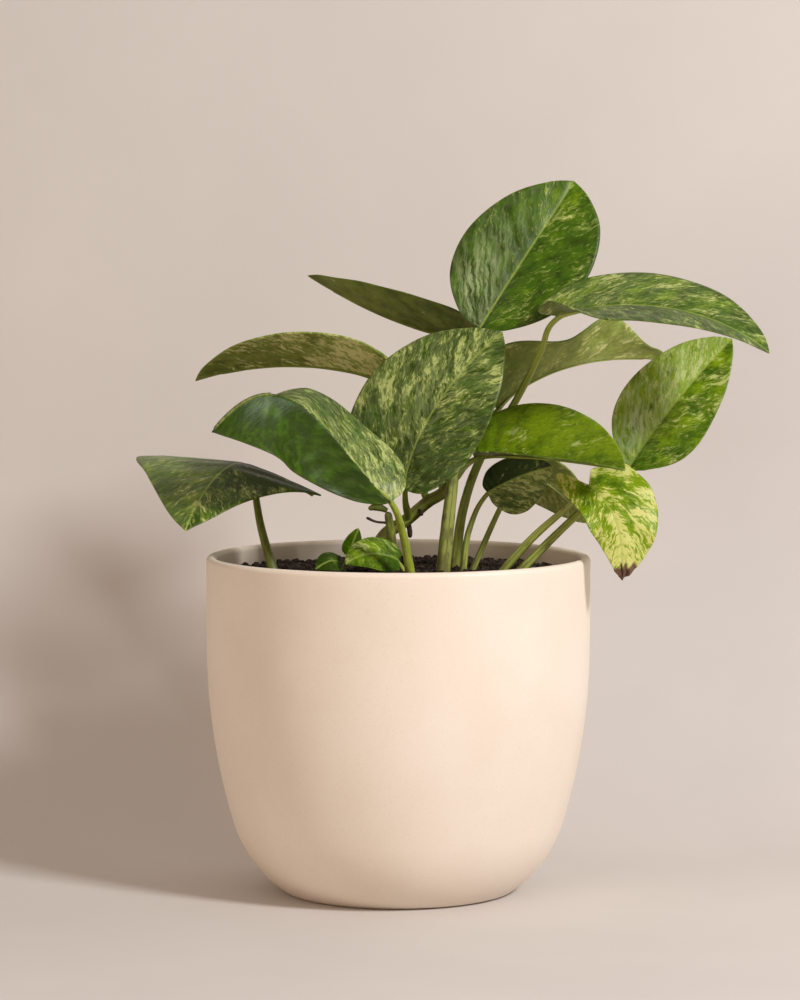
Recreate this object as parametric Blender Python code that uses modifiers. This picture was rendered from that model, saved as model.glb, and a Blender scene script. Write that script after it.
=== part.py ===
"""Potted pothos: leaves on petioles and short vines, rooted in soil inside a round-bottomed planter.

Metres, +Z up. The origin is the middle of the planter's foot, the front is -Y.
"""

import math

import bmesh
import bpy
from mathutils import Matrix, Vector

MM = 0.001

# Planter, in millimetres
RIM_RADIUS = 77.5
PLANTER_HEIGHT = 136.0
SIDE_FOOT_RADIUS = 77.3     # where the straight side ends and the long arc starts
SIDE_FOOT_Z = 100.0
LONG_ARC_RADIUS = 251.0
LONG_ARC_TURN = 16.7        # degrees
BELLY_TURN = 57.2           # degrees from upright where the belly meets the foot
WALL = 4.0
FLOOR = 7.0
SIDE_STEPS = 48             # facets around a turned piece
ARC_STEPS = 6
HOLLOW_ROUND = (5.0, 3.0)   # how far the hollow's corner is eased, inwards and upwards

# Soil, in millimetres
SOIL_TOP = 129.0
FIT_GAP = 0.3               # clearance between pieces that touch
BRANCH_GAP = 0.6            # clearance where a bending petiole leaves a vine

# Plant, in millimetres
BLADE = 0.7                 # thickness of a leaf
BLADE_ROWS = 12
BLADE_COLUMNS = 6
ROOT_DEPTH = 14.0           # how far a stem runs down into the soil
SOCKET_GAP = 0.35
SOCKET_SIDES = 10
SOCKET_RISE = 4.0
STEM_RESOLUTION = 4         # curve steps between two points of a stem

# Half of a leaf's outline: share of the length, share of the half width. The second point is the
# lobe, which each half places behind the base (positive) or in front of it (negative).
OUTLINE = [(0.0, 0.0), (0.0, 0.42), (0.16, 0.88), (0.42, 1.0), (0.70, 0.76), (0.91, 0.33), (1.0, 0.0)]
CORNER_OUTLINE = [(0.0, 0.0), (0.0, 0.5), (0.06, 0.9), (0.22, 1.06), (0.56, 0.68), (0.86, 0.27), (1.0, 0.0)]
FAR_BELLY_OUTLINE = [(0.0, 0.0), (0.0, 0.3), (0.16, 0.62), (0.42, 0.86), (0.68, 1.12), (0.89, 0.98), (1.0, 0.0)]
SHOULDER_SHARE = 0.8        # how much of the lobe's reach its shoulder follows
LOBE_FOLD_END = 0.35        # share of the length where a lobe's own fold has faded
FOOT_CROWDING = 1.7         # side veins leave the midrib closer together near the base
VEIN_SWEEP = 0.35           # a side vein's middle: share of its run along the leaf
VEIN_REACH = 0.6            # and share of its run outwards
RIPPLE_START = 0.89         # share of a wave where the margin's ripple starts
EASE_FALLOFF = 0.7          # how the easing grows from the midrib to the margin

# Each leaf, in millimetres: the four points of its midrib's curve and which way its upper face
# looks at the base and at the tip. For its left and right half: the width, the fold at the midrib
# and at the margin in degrees (up is positive), how far the belly sits towards the tip, the lobe
# as a share of the length, and how many degrees more the lobe folds up. Ripple is the height of
# the left and the right margin's waves and how many there are. Stalk is the radius of the
# petiole's end. Ease is how many passes even out the left margin where the midrib bends hard.
LEAVES = {
    "leaf_top": dict(
        midrib=[(33, 14, 227), (45, 20, 247), (60, 26, 268), (72, 34, 287)],
        up=(-0.1, -1.0, 0.35), up_tip=(-0.1, -1.0, 0.3),
        left=(26, 8, 0, 0.03, -0.03, 0), right=(27, 8, 0, 0.14, -0.05, 0), ripple=(0, 0, 0), stalk=1.1),
    "leaf_upper_right": dict(
        midrib=[(63, -12, 233), (88, -16, 241), (122, -29, 239), (145, -40, 219)],
        up=(0.0, -0.5, 0.85), up_tip=(0.3, -0.6, 0.75),
        left=(23, 5, 0, -0.03, 0.06, 0), right=(20, 18, 10, 0.0, 0.06, 45), ripple=(0, 0, 0), stalk=1.1),
    "leaf_behind": dict(
        midrib=[(40, 25, 195), (58, 31, 213), (88, 44, 217), (112, 47, 213)],
        up=(-0.2, 0.0, 1.0), up_tip=(0.0, 0.0, 1.0),
        left=(22, 15, 15, 0.0, 0.08, 0), right=(21, 45, 60, 0.0, 0.08, 15), ripple=(1.5, 5, 3.3), stalk=1.1),
    "leaf_centre": dict(
        midrib=[(2, -10, 163), (4, -9, 184), (20, -5, 208), (42, 4, 226)],
        up=(-0.3, -0.85, 0.5), up_tip=(-0.2, -0.8, 0.6),
        left=(33, 0, 0, 0.06, 0.04, 0), right=(24, 5, -20, 0.08, 0.0, 0), ripple=(0, 0, 0), stalk=1.2),
    "leaf_left": dict(
        midrib=[(-3, -34, 160), (-26, -37, 182), (-43, -42, 226), (-72, -58, 189)],
        up=(-0.3, -0.9, 0.3), up_tip=(-0.1, -0.8, 0.6),
        left=(28, -5, 0, 0.08, 0.0, 0), right=(23.5, -60, -60, 0.0, 0.0, 40), ripple=(0, 0, 0), stalk=1.2,
        left_outline=FAR_BELLY_OUTLINE, ease=3),
    "leaf_low_left": dict(
        midrib=[(-60, 8, 172), (-66, -2, 177), (-76, -22, 170), (-83, -48, 150)],
        up=(0.0, -0.4, 0.9), up_tip=(0.0, -0.7, 0.7),
        left=(37, 0, -6, 0.0, 0.12, 0), right=(45, -12, -14, 0.0, 0.12, 0), ripple=(0, 0, 0), stalk=1.2,
        left_outline=CORNER_OUTLINE, right_outline=CORNER_OUTLINE),
    "leaf_left_upper": dict(
        midrib=[(-6, 28, 206), (-28, 30, 214), (-58, 35, 214), (-84, 40, 205)],
        up=(0.0, 0.0, 1.0), up_tip=(0.0, 0.0, 1.0),
        left=(22, 40, 40, 0.0, 0.05, 0), right=(22, 30, 30, 0.0, 0.05, 0), ripple=(0, 0, 0), stalk=1.1),
    "leaf_upper_left_back": dict(
        midrib=[(33, 48, 222), (14, 54, 223), (-12, 64, 232), (-38, 74, 248)],
        up=(0.2, 0.2, 1.0), up_tip=(0.2, 0.2, 1.0),
        left=(22, 25, 25, 0.0, 0.05, 0), right=(22, 10, 10, 0.0, 0.05, 0), ripple=(0, 0, 0), stalk=1.1),
    "leaf_right_centre": dict(
        midrib=[(31, 6, 176), (46, -2, 178), (70, -20, 176), (89, -36, 173)],
        up=(0.0, -0.15, 1.0), up_tip=(0.0, -0.15, 1.0),
        left=(25, 50, 44, 0.0, 0.03, 0), right=(18, 16, 12, 0.0, -0.06, 0), ripple=(0, 0, 0), stalk=1.1),
    "leaf_small_folded": dict(
        midrib=[(36, 3, 161), (44, 1, 166), (53, -2, 170), (62, -4, 172)],
        up=(-0.1, -1.0, 0.3), up_tip=(0.0, -0.9, 0.3),
        left=(9, 15, 30, 0.0, 0.0, 0), right=(14, -5, -15, 0.0, 0.0, 0), ripple=(0, 0, 0), stalk=0.9),
    "leaf_back_right": dict(
        midrib=[(50, 24, 169), (60, 26, 166), (70, 26, 158), (77, 25, 147)],
        up=(0.3, 0.7, 0.5), up_tip=(0.3, 0.7, 0.5),
        left=(13, 0, 0, 0.0, 0.05, 0), right=(13, 0, 0, 0.0, 0.05, 0), ripple=(0, 0, 0), stalk=0.9),
    "leaf_yellow": dict(
        midrib=[(76, -20, 166), (83, -28, 161), (90, -34, 150), (88, -32, 129)],
        up=(-0.2, -0.75, 0.6), up_tip=(0.0, -0.9, 0.2),
        left=(19, -5, -15, 0.0, 0.15, 0), right=(11, 0, 0, 0.04, 0.34, 0), ripple=(0, 0, 0), stalk=1.0),
    "leaf_right": dict(
        midrib=[(92, 0, 170), (103, 2, 188), (120, 7, 208), (135, 10, 223)],
        up=(-0.05, -0.95, 0.35), up_tip=(-0.05, -0.95, 0.35),
        left=(20, 8, 0, 0.04, -0.07, 0), right=(18, 8, 0, 0.0, -0.08, 0), ripple=(0, 0, 0), stalk=1.0),
    "leaf_soil_round": dict(
        midrib=[(0, -9, 135), (-7, -13, 139), (-15, -16, 139), (-21, -19, 134)],
        up=(0.0, -0.8, 0.6), up_tip=(0.0, -0.8, 0.6),
        left=(8, 0, 0, 0.0, 0.05, 0), right=(8, 0, 0, 0.0, 0.05, 0), ripple=(0, 0, 0), stalk=0.8),
    "leaf_soil_left": dict(
        midrib=[(-23, -10, 134), (-26, -13, 136), (-29, -16, 135), (-33, -18, 132)],
        up=(0.0, -0.7, 0.7), up_tip=(0.0, -0.7, 0.7),
        left=(6, 0, 0, 0.0, 0.05, 0), right=(5, 0, 0, 0.0, 0.05, 0), ripple=(0, 0, 0), stalk=0.7),
    "leaf_soil_rolled": dict(
        midrib=[(-20, -1, 136), (-19, -1, 139), (-18, -2, 142), (-16, -2, 147)],
        up=(0.3, -0.7, 0.5), up_tip=(0.3, -0.7, 0.5),
        left=(4, 10, 30, 0.0, 0.0, 0), right=(4, 10, 30, 0.0, 0.0, 0), ripple=(0, 0, 0), stalk=0.7),
}

# The vines, in millimetres: radius and place of each point, from the soil up.
VINES = {
    "vine_diagonal": [(2.7, (-10, 14, 129)), (2.7, (-7, 12, 141)), (2.6, (4, 9, 150)),
                      (2.5, (12, 7, 157)), (2.4, (19, 6, 162)), (2.3, (21, 7, 170))],
    "vine_upright": [(3.0, (18, -6, 129)), (2.7, (20, -5, 150)), (2.2, (22, -4, 167))],
    "vine_pale": [(2.0, (-1, 1, 129)), (1.8, (-2.5, 1, 142)), (1.6, (-4, 0, 152))],
}

# What stands off the vines, in millimetres: radius and place of both ends.
ROOTLETS = {
    "aerial_root": [(0.5, (-6.4, 0.4, 149.2)), (0.5, (-9.4, 0.0, 149.6)), (0.5, (-12.4, -0.4, 151.0))],
    "leaf_bud": [(1.1, (-5.8, -0.3, 155.2)), (1.5, (-8.6, -0.6, 155.4)), (0.8, (-11.6, -0.9, 154.9))],
    "root_nub_upper": [(0.9, (8.9, 4.9, 153.0)), (0.6, (9.5, 2.9, 152.2))],
    "root_nub_lower": [(1.0, (4.4, 9.0, 146.0)), (0.7, (4.7, 8.8, 143.6))],
}

# The petioles, in millimetres: radius at the root, where it grows from, and the points on the way.
# One that grows from a vine names the vine and which of its points; the others name their place
# on the soil. Each ends at the base of its leaf.
PETIOLES = {
    "top": (2.0, ("vine_diagonal", 5), [(24, 15, 198)]),
    "upper_right": (2.1, (23, 13, 129), [(27, 14, 156), (35, 16, 177), (47, 17, 196), (57, 3, 217)]),
    "behind": (1.6, ("vine_diagonal", 4), [(24, 17, 170), (33, 26, 183)]),
    "centre": (1.9, ("vine_diagonal", 2), []),
    "left": (2.1, (5, -21, 129), [(2, -25, 146)]),
    "low_left": (2.1, (-50, -5, 129), [(-55, 0, 146)]),
    "left_upper": (1.6, ("vine_diagonal", 3), [(6, 16, 172)]),
    "upper_left_back": (1.6, ("vine_diagonal", 4), [(12, 20, 171), (19, 38, 198)]),
    "right_centre": (1.9, ("vine_upright", 2), []),
    "small_folded": (1.5, (26, 1, 129), [(29, 3, 147)]),
    "back_right": (1.3, (30, 7, 129), [(41, 13, 153)]),
    "yellow": (1.8, (41, -6, 129), [(54, -10, 144), (68, -15, 157)]),
    "right": (1.9, (47, -13, 129), [(63, -11, 145), (80, -5, 160)]),
    "soil_round": (1.1, (3, -7, 129), []),
    "soil_left": (0.9, (-21, -8, 129), []),
    "soil_rolled": (1.0, (-22, 0, 129), []),
}

BISQUE = (0.87, 0.76, 0.62)
DAMP_SOIL = (0.02, 0.013, 0.01)
PETIOLE_GREEN = (0.20, 0.30, 0.06)
VINE_GREEN = (0.17, 0.24, 0.05)
ROOT_BROWN = (0.06, 0.04, 0.02)
LEAF_GREEN = (0.105, 0.205, 0.035)
LEAF_COLOURS = {
    "leaf_yellow": (0.52, 0.60, 0.16),
    "leaf_right_centre": (0.20, 0.36, 0.04),
    "leaf_right": (0.22, 0.36, 0.06),
    "leaf_behind": (0.18, 0.25, 0.08),
    "leaf_left_upper": (0.25, 0.27, 0.12),
    "leaf_upper_left_back": (0.12, 0.16, 0.05),
    "leaf_back_right": (0.25, 0.28, 0.13),
}


def vec(point):
    """A point in millimetres as a vector in metres."""
    return Vector(point) * MM


def make_collection(name):
    collection = bpy.data.collections.new(name)
    bpy.context.scene.collection.children.link(collection)
    return collection


def make_material(name, colour, roughness):
    material = bpy.data.materials.new(name)
    material.use_nodes = True
    shader = material.node_tree.nodes["Principled BSDF"]
    shader.inputs["Base Color"].default_value = (*colour, 1.0)
    shader.inputs["Roughness"].default_value = roughness
    shader.inputs["Metallic"].default_value = 0.0
    return material


def add_object(name, data, collection, material=None):
    obj = bpy.data.objects.new(name, data)
    collection.objects.link(obj)
    if material:
        data.materials.append(material)
    return obj


# ---------------------------------------------------------------- planter and soil

def arc_down(start, radius, first_angle, last_angle, steps):
    """Points (r, z) down an arc that turns inwards; angles are degrees from straight down."""
    first = math.radians(first_angle)
    centre = (start[0] - radius * math.cos(first), start[1] + radius * math.sin(first))
    points = []
    for step in range(steps + 1):
        angle = math.radians(first_angle + (last_angle - first_angle) * step / steps)
        points.append((centre[0] + radius * math.cos(angle), centre[1] - radius * math.sin(angle)))
    return points


def side_profile(inset):
    """The planter's side (r, z) from under the lip to the foot, moved inwards by inset."""
    start = (SIDE_FOOT_RADIUS - inset, SIDE_FOOT_Z)
    long_arc = arc_down(start, LONG_ARC_RADIUS - inset, 0.0, LONG_ARC_TURN, ARC_STEPS)
    turn = math.sin(math.radians(BELLY_TURN)) - math.sin(math.radians(LONG_ARC_TURN))
    belly_drop = SIDE_FOOT_Z - LONG_ARC_RADIUS * math.sin(math.radians(LONG_ARC_TURN))
    belly_radius = belly_drop / turn
    belly = arc_down(long_arc[-1], belly_radius - inset, LONG_ARC_TURN, BELLY_TURN, ARC_STEPS)
    return [(RIM_RADIUS - inset, PLANTER_HEIGHT - WALL / 2)] + long_arc + belly[1:]


def turned(name, profile, collection, material=None):
    """A profile of (r, z) in millimetres, listed down the outer side, turned about Z."""
    mesh = bpy.data.meshes.new(name)
    bm = bmesh.new()
    verts = [bm.verts.new((r * MM, 0.0, z * MM)) for r, z in profile]
    for first, second in zip(verts, verts[1:]):
        bm.edges.new((first, second))
    bm.to_mesh(mesh)
    bm.free()
    obj = add_object(name, mesh, collection, material)
    screw = obj.modifiers.new("Turn", "SCREW")
    screw.steps = SIDE_STEPS
    screw.render_steps = SIDE_STEPS
    screw.use_merge_vertices = True
    screw.merge_threshold = 0.00001
    return obj


def lip_points():
    """The rounded lip (r, z), from the inner side over to the outer side."""
    half = WALL / 2
    middle = (RIM_RADIUS - half, PLANTER_HEIGHT - half)
    angles = [math.radians(180.0 - 180.0 * step / ARC_STEPS) for step in range(ARC_STEPS + 1)]
    return [(middle[0] + half * math.cos(a), middle[1] + half * math.sin(a)) for a in angles]


def hollow_profile(inset):
    """The wall of a round form that fills the planter's hollow (r, z), from the rim to the floor."""
    floor = FLOOR + inset - WALL
    inwards, upwards = HOLLOW_ROUND
    side = [point for point in side_profile(inset)[1:] if point[1] > floor + upwards]
    return side + [(side[-1][0] - inwards, floor)]


def make_planter(collection):
    outer = side_profile(0.0)[1:-1]
    foot_radius = side_profile(0.0)[-1][0]
    inner = hollow_profile(WALL)
    profile = [(0.0, FLOOR)] + inner[::-1] + lip_points() + outer + [(foot_radius, 0.0), (0.0, 0.0)]
    turned("planter", profile, collection, make_material("bisque_ceramic", BISQUE, 0.6))


def make_soil(collection, cutters):
    """A plug that fills the planter's hollow, with a socket for every stem that is rooted in it."""
    wall = hollow_profile(WALL + FIT_GAP)
    top = (RIM_RADIUS - WALL - FIT_GAP, SOIL_TOP)
    profile = [(0.0, SOIL_TOP), top] + wall + [(0.0, wall[-1][1])]
    soil = turned("potting_soil", profile, collection, make_material("potting_soil", DAMP_SOIL, 0.95))
    for cutter in cutters:
        cut = soil.modifiers.new("Socket " + cutter.name, "BOOLEAN")
        cut.operation = "DIFFERENCE"
        cut.object = cutter


# ---------------------------------------------------------------- leaves

def smooth_through(points, share):
    """A point on the smooth (Catmull-Rom) curve through the points."""
    spans = len(points) - 1
    span = min(int(share * spans), spans - 1)
    t = share * spans - span
    before = points[max(span - 1, 0)]
    start = points[span]
    end = points[span + 1]
    after = points[min(span + 2, spans)]
    return [0.5 * (2 * b + (c - a) * t + (2 * a - 5 * b + 4 * c - d) * t * t + (3 * b - a - 3 * c + d) * t ** 3)
            for a, b, c, d in zip(before, start, end, after)]


def bezier(points, t):
    """Point and direction on a cubic curve; before its start it runs straight on."""
    a, b, c, d = [Vector(point) for point in points]
    inside = max(t, 0.0)
    u = 1.0 - inside
    place = a * u ** 3 + b * (3 * u * u * inside) + c * (3 * u * inside * inside) + d * inside ** 3
    slope = (b - a) * (3 * u * u) + (c - b) * (6 * u * inside) + (d - c) * (3 * inside * inside)
    if t < 0:
        place += slope.normalized() * (t * leaf_length(points))
    return place, slope.normalized()


def leaf_length(points):
    total = 0.0
    for step in range(8):
        first = bezier(points, step / 8)[0]
        second = bezier(points, (step + 1) / 8)[0]
        total += (second - first).length
    return total


def across(width, fold, fold_margin, share):
    """Sideways and upward reach at a share of a half blade that bends evenly from fold to margin."""
    start = math.radians(fold)
    turn = math.radians(fold_margin - fold)
    if abs(turn) < 0.001:
        return width * share * math.cos(start), width * share * math.sin(start)
    end = start + turn * share
    return (width * (math.sin(end) - math.sin(start)) / turn,
            width * (math.cos(start) - math.cos(end)) / turn)


def blade_point(leaf, along, side):
    """A point of the blade: along runs from base to tip by the veins, side from -1 to 1 across."""
    name = "left" if side < 0 else "right"
    width, fold, fold_margin, belly, lobe, lobe_fold = leaf[name]
    outline = list(leaf.get(name + "_outline", OUTLINE))
    outline[1] = (-lobe, outline[1][1])
    outline[2] = (outline[2][0] - SHOULDER_SHARE * lobe, outline[2][1])
    edge_x, edge_y = smooth_through(outline, along)
    edge_x += belly * math.sin(math.pi * min(max(edge_x, 0.0), 1.0))
    foot = along ** FOOT_CROWDING
    reach = abs(side)
    bend_x = foot + VEIN_SWEEP * (edge_x - foot)
    x = foot * (1 - reach) ** 2 + bend_x * 2 * reach * (1 - reach) + edge_x * reach ** 2
    y = VEIN_REACH * edge_y * 2 * reach * (1 - reach) + edge_y * reach ** 2
    place, forward = bezier(leaf["midrib"], x)
    up = Vector(leaf["up"]).lerp(Vector(leaf["up_tip"]), min(max(x, 0.0), 1.0))
    up = (up - forward * up.dot(forward)).normalized()
    right = forward.cross(up)
    lift = lobe_fold * max(0.0, 1.0 - max(x, 0.0) / LOBE_FOLD_END) ** 2
    sideways, upwards = across(width, fold + lift, fold_margin + lift, max(y, 0.0))
    left_wave, right_wave, waves = leaf["ripple"]
    wave = left_wave if side < 0 else right_wave
    phase = 2.0 * math.pi * (waves * along - RIPPLE_START)
    upwards += wave * reach * reach * math.sin(phase) * math.sin(math.pi * along) ** 2
    return place + right * math.copysign(sideways, side) + up * upwards


def ease_margin(rows):
    """One pass that moves the left half towards the middle of its neighbours along the leaf."""
    eased = [list(row) for row in rows]
    for index in range(1, len(rows) - 1):
        for column, point in enumerate(rows[index]):
            reach = max(1.0 - 2.0 * column / BLADE_COLUMNS, 0.0)
            middle = (rows[index - 1][column] + rows[index + 1][column]) / 2
            eased[index][column] = point.lerp(middle, reach ** EASE_FALLOFF)
    return eased


def make_leaf(name, leaf, collection):
    rows = [[blade_point(leaf, row / BLADE_ROWS, 2.0 * column / BLADE_COLUMNS - 1.0)
             for column in range(BLADE_COLUMNS + 1)] for row in range(BLADE_ROWS + 1)]
    for _ in range(leaf.get("ease", 0)):
        rows = ease_margin(rows)
    bm = bmesh.new()
    verts = [[bm.verts.new(point * MM) for point in row] for row in rows]
    for low, high in zip(verts, verts[1:]):
        for column in range(BLADE_COLUMNS):
            bm.faces.new((low[column], high[column], high[column + 1], low[column + 1]))
    bmesh.ops.remove_doubles(bm, verts=bm.verts, dist=0.00002)
    for face in bm.faces:
        face.smooth = True
    mesh = bpy.data.meshes.new(name)
    bm.to_mesh(mesh)
    bm.free()
    material = make_material(name, LEAF_COLOURS.get(name, LEAF_GREEN), 0.35)
    obj = add_object(name, mesh, collection, material)
    solidify = obj.modifiers.new("Thickness", "SOLIDIFY")
    solidify.thickness = BLADE * MM
    solidify.offset = 0.0


# ---------------------------------------------------------------- stems

def make_stem(name, radii, points, collection, material):
    """A smooth tapered tube through points in millimetres."""
    curve = bpy.data.curves.new(name, "CURVE")
    curve.dimensions = "3D"
    curve.bevel_depth = MM
    curve.bevel_resolution = 1
    curve.resolution_u = STEM_RESOLUTION
    curve.use_fill_caps = True
    spline = curve.splines.new("BEZIER")
    spline.bezier_points.add(len(points) - 1)
    for bezier_point, radius, point in zip(spline.bezier_points, radii, points):
        bezier_point.co = vec(point)
        bezier_point.radius = radius
        bezier_point.handle_left_type = "AUTO"
        bezier_point.handle_right_type = "AUTO"
    add_object(name, curve, collection, material)


def make_socket(name, radius, entry, root, collection):
    """A round cutter along the buried stretch of a stem, standing proud of the soil."""
    direction = (Vector(entry) - Vector(root)).normalized()
    start = Vector(root) - direction * SOCKET_GAP
    end = Vector(entry) + direction * SOCKET_RISE
    bm = bmesh.new()
    length = (end - start).length
    size = (radius + SOCKET_GAP) * MM
    bmesh.ops.create_cone(bm, cap_ends=True, segments=SOCKET_SIDES, radius1=size, radius2=size,
                          depth=length * MM)
    turn = direction.to_track_quat("Z", "Y").to_matrix().to_4x4()
    bm.transform(Matrix.Translation((start + end) * 0.5 * MM) @ turn)
    mesh = bpy.data.meshes.new(name)
    bm.to_mesh(mesh)
    bm.free()
    cutter = add_object(name, mesh, collection)
    cutter.hide_render = True
    cutter.display_type = "WIRE"
    return cutter


def rooted(points):
    """The same points with one more below, straight down the stem's own line into the soil."""
    direction = (Vector(points[1]) - Vector(points[0])).normalized()
    return [tuple(Vector(points[0]) - direction * ROOT_DEPTH)] + list(points)


def leaf_end(leaf):
    """Where a petiole ends, just under its leaf's base."""
    base, forward = bezier(leaf["midrib"], 0.0)
    up = Vector(leaf["up"])
    up = (up - forward * up.dot(forward)).normalized()
    return base - up * (leaf["stalk"] + BLADE / 2 + FIT_GAP) - forward * FIT_GAP


def stem_start(origin, radius, target):
    """Where a petiole starts: a place on the soil, or just off a vine's surface, facing target."""
    if not isinstance(origin[0], str):
        return Vector(origin)
    vine, index = origin
    points = [Vector(point) for _, point in VINES[vine]]
    vine_radius = VINES[vine][index][0]
    heading = (Vector(target) - points[index]).normalized()
    if index == len(points) - 1:
        axis = (points[index] - points[index - 1]).normalized()
        along = heading.dot(axis)
        return points[index] + heading * ((BRANCH_GAP + radius * math.sqrt(1.0 - along * along)) / along)
    axis = (points[index + 1] - points[index - 1]).normalized()
    along = abs(heading.dot(axis))
    clear = vine_radius + BRANCH_GAP + radius * along
    return points[index] + heading * (clear / math.sqrt(1.0 - along * along))


def make_stems(collection, cutter_collection):
    cutters = []
    petiole_green = make_material("petiole", PETIOLE_GREEN, 0.4)
    vine_green = make_material("vine", VINE_GREEN, 0.45)
    root_brown = make_material("aerial_root", ROOT_BROWN, 0.7)
    stems = []
    for name, (radius, origin, points) in PETIOLES.items():
        leaf = LEAVES["leaf_" + name]
        ways = [Vector(point) for point in points] + [leaf_end(leaf)]
        path = [stem_start(origin, radius, ways[0])] + ways
        radii = [radius + (leaf["stalk"] - radius) * step / (len(path) - 1) for step in range(len(path))]
        stems.append(("petiole_" + name, radii, path, petiole_green))
    for name, points in VINES.items():
        stems.append((name, [radius for radius, _ in points], [point for _, point in points], vine_green))
    for name, points in ROOTLETS.items():
        stems.append((name, [radius for radius, _ in points], [point for _, point in points], root_brown))
    for name, radii, path, material in stems:
        if path[0][2] <= SOIL_TOP:
            path = rooted(path)
            radii = [radii[0]] + radii
            cutters.append(make_socket("socket_" + name, radii[0], path[1], path[0], cutter_collection))
        make_stem(name, radii, path, collection, material)
    return cutters


def main():
    for obj in list(bpy.data.objects):
        bpy.data.objects.remove(obj, do_unlink=True)
    parts = make_collection("potted_pothos")
    cutter_collection = make_collection("cutters")
    make_planter(parts)
    for name, leaf in LEAVES.items():
        make_leaf(name, leaf, parts)
    cutters = make_stems(parts, cutter_collection)
    make_soil(parts, cutters)
    return parts


main()
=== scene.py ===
import math

import bpy
import bmesh
import numpy as np
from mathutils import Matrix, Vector


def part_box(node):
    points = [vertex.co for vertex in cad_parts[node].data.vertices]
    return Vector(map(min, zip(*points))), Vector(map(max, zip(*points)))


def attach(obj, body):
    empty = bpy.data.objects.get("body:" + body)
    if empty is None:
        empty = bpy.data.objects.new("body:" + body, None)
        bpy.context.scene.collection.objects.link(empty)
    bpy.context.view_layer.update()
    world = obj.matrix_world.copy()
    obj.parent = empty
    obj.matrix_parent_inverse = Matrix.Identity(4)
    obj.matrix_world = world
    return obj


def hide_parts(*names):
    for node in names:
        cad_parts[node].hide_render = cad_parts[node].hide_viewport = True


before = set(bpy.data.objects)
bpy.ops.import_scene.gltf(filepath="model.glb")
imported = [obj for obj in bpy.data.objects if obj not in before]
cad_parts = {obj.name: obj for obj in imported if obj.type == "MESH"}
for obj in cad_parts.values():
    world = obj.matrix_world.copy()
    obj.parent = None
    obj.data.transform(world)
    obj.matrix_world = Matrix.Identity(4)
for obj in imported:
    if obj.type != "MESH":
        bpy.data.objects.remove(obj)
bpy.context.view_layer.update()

# Lengths below are in millimetres, and every mesh is made in metres.
mm = 0.001


def toLinear(hexColour):
    levels = [int(hexColour[i:i + 2], 16) / 255 for i in (1, 3, 5)]
    linear = [level / 12.92 if level <= 0.04045 else ((level + 0.055) / 1.055) ** 2.4 for level in levels]
    return linear + [1.0]


# Adds one node and returns its outputs: a socket given as a value is linked, anything else is set.
def addNode(tree, kind, sockets=None, **settings):
    node = tree.nodes.new(kind)
    for name, value in settings.items():
        setattr(node, name, value)
    for name, value in (sockets or {}).items():
        if isinstance(value, bpy.types.NodeSocket):
            tree.links.new(value, node.inputs[name])
        else:
            node.inputs[name].default_value = value
    return node.outputs


def newMaterial(name, ior=1.45):
    material = bpy.data.materials.new(name)
    material.use_nodes = True
    shader = material.node_tree.nodes["Principled BSDF"]
    shader.inputs["IOR"].default_value = ior
    return material, material.node_tree, shader


def linkTo(tree, shader, **sources):
    for name, source in sources.items():
        tree.links.new(source, shader.inputs[name.replace("_", " ")])


def addObject(name, data):
    made = bpy.data.objects.new(name, data)
    bpy.context.scene.collection.objects.link(made)
    return made


# Hands a finished piece to the frame.
def finishPiece(piece, node):
    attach(piece, "root")
    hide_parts(node)
    return piece


# Runs a node tree on a host object and returns the result as a plain mesh object.
def runTree(host, tree, name, **values):
    modifier = host.modifiers.new(tree.name, "NODES")
    modifier.node_group = tree
    for socket in tree.interface.items_tree:
        if socket.in_out == "INPUT" and socket.name in values:
            modifier[socket.identifier] = values[socket.name]
    evaluated = host.evaluated_get(bpy.context.evaluated_depsgraph_get())
    mesh = bpy.data.meshes.new_from_object(evaluated)
    bpy.data.objects.remove(host)
    mesh.name = name
    return addObject(name, mesh)


def newTree(name, inputs):
    tree = bpy.data.node_groups.new(name, "GeometryNodeTree")
    tree.interface.new_socket("Geometry", in_out="INPUT", socket_type="NodeSocketGeometry")
    for socketName, kind, value in inputs:
        socket = tree.interface.new_socket(socketName, in_out="INPUT", socket_type="NodeSocket" + kind)
        if value is not None:
            socket.default_value = value
    tree.interface.new_socket("Geometry", in_out="OUTPUT", socket_type="NodeSocketGeometry")
    return tree, tree.nodes.new("NodeGroupInput").outputs


def endTree(tree, geometry, material):
    made = addNode(tree, "GeometryNodeRealizeInstances", {"Geometry": geometry})
    made = addNode(tree, "GeometryNodeSetMaterial", {"Geometry": made[0], "Material": material})
    addNode(tree, "NodeGroupOutput", {0: made[0]})


camera = dict(place=(0.7, -1400.0, 263.4), tilt=4.295, lens=125.39, sensor=36.0, nearest=50.0)

cameraData = bpy.data.cameras.new("camera")
cameraData.lens = camera["lens"]
cameraData.sensor_width = camera["sensor"]
cameraData.clip_start = camera["nearest"] * mm
cameraObject = addObject("camera", cameraData)
cameraObject.location = Vector(camera["place"]) * mm
cameraObject.rotation_euler = (math.radians(90.0 - camera["tilt"]), 0.0, 0.0)
bpy.context.scene.camera = cameraObject
bpy.context.scene.view_settings.view_transform = "Standard"

# A paper sweep: flat, then curving up behind the plant and again far in front of it.
sweep = dict(
    front=-3200.0, bendFront=900.0, back=230.0, bendBack=170.0, width=3600.0, height=2600.0,
    stepsFront=12, stepsBack=24, colour="#D0CAC4")


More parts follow.
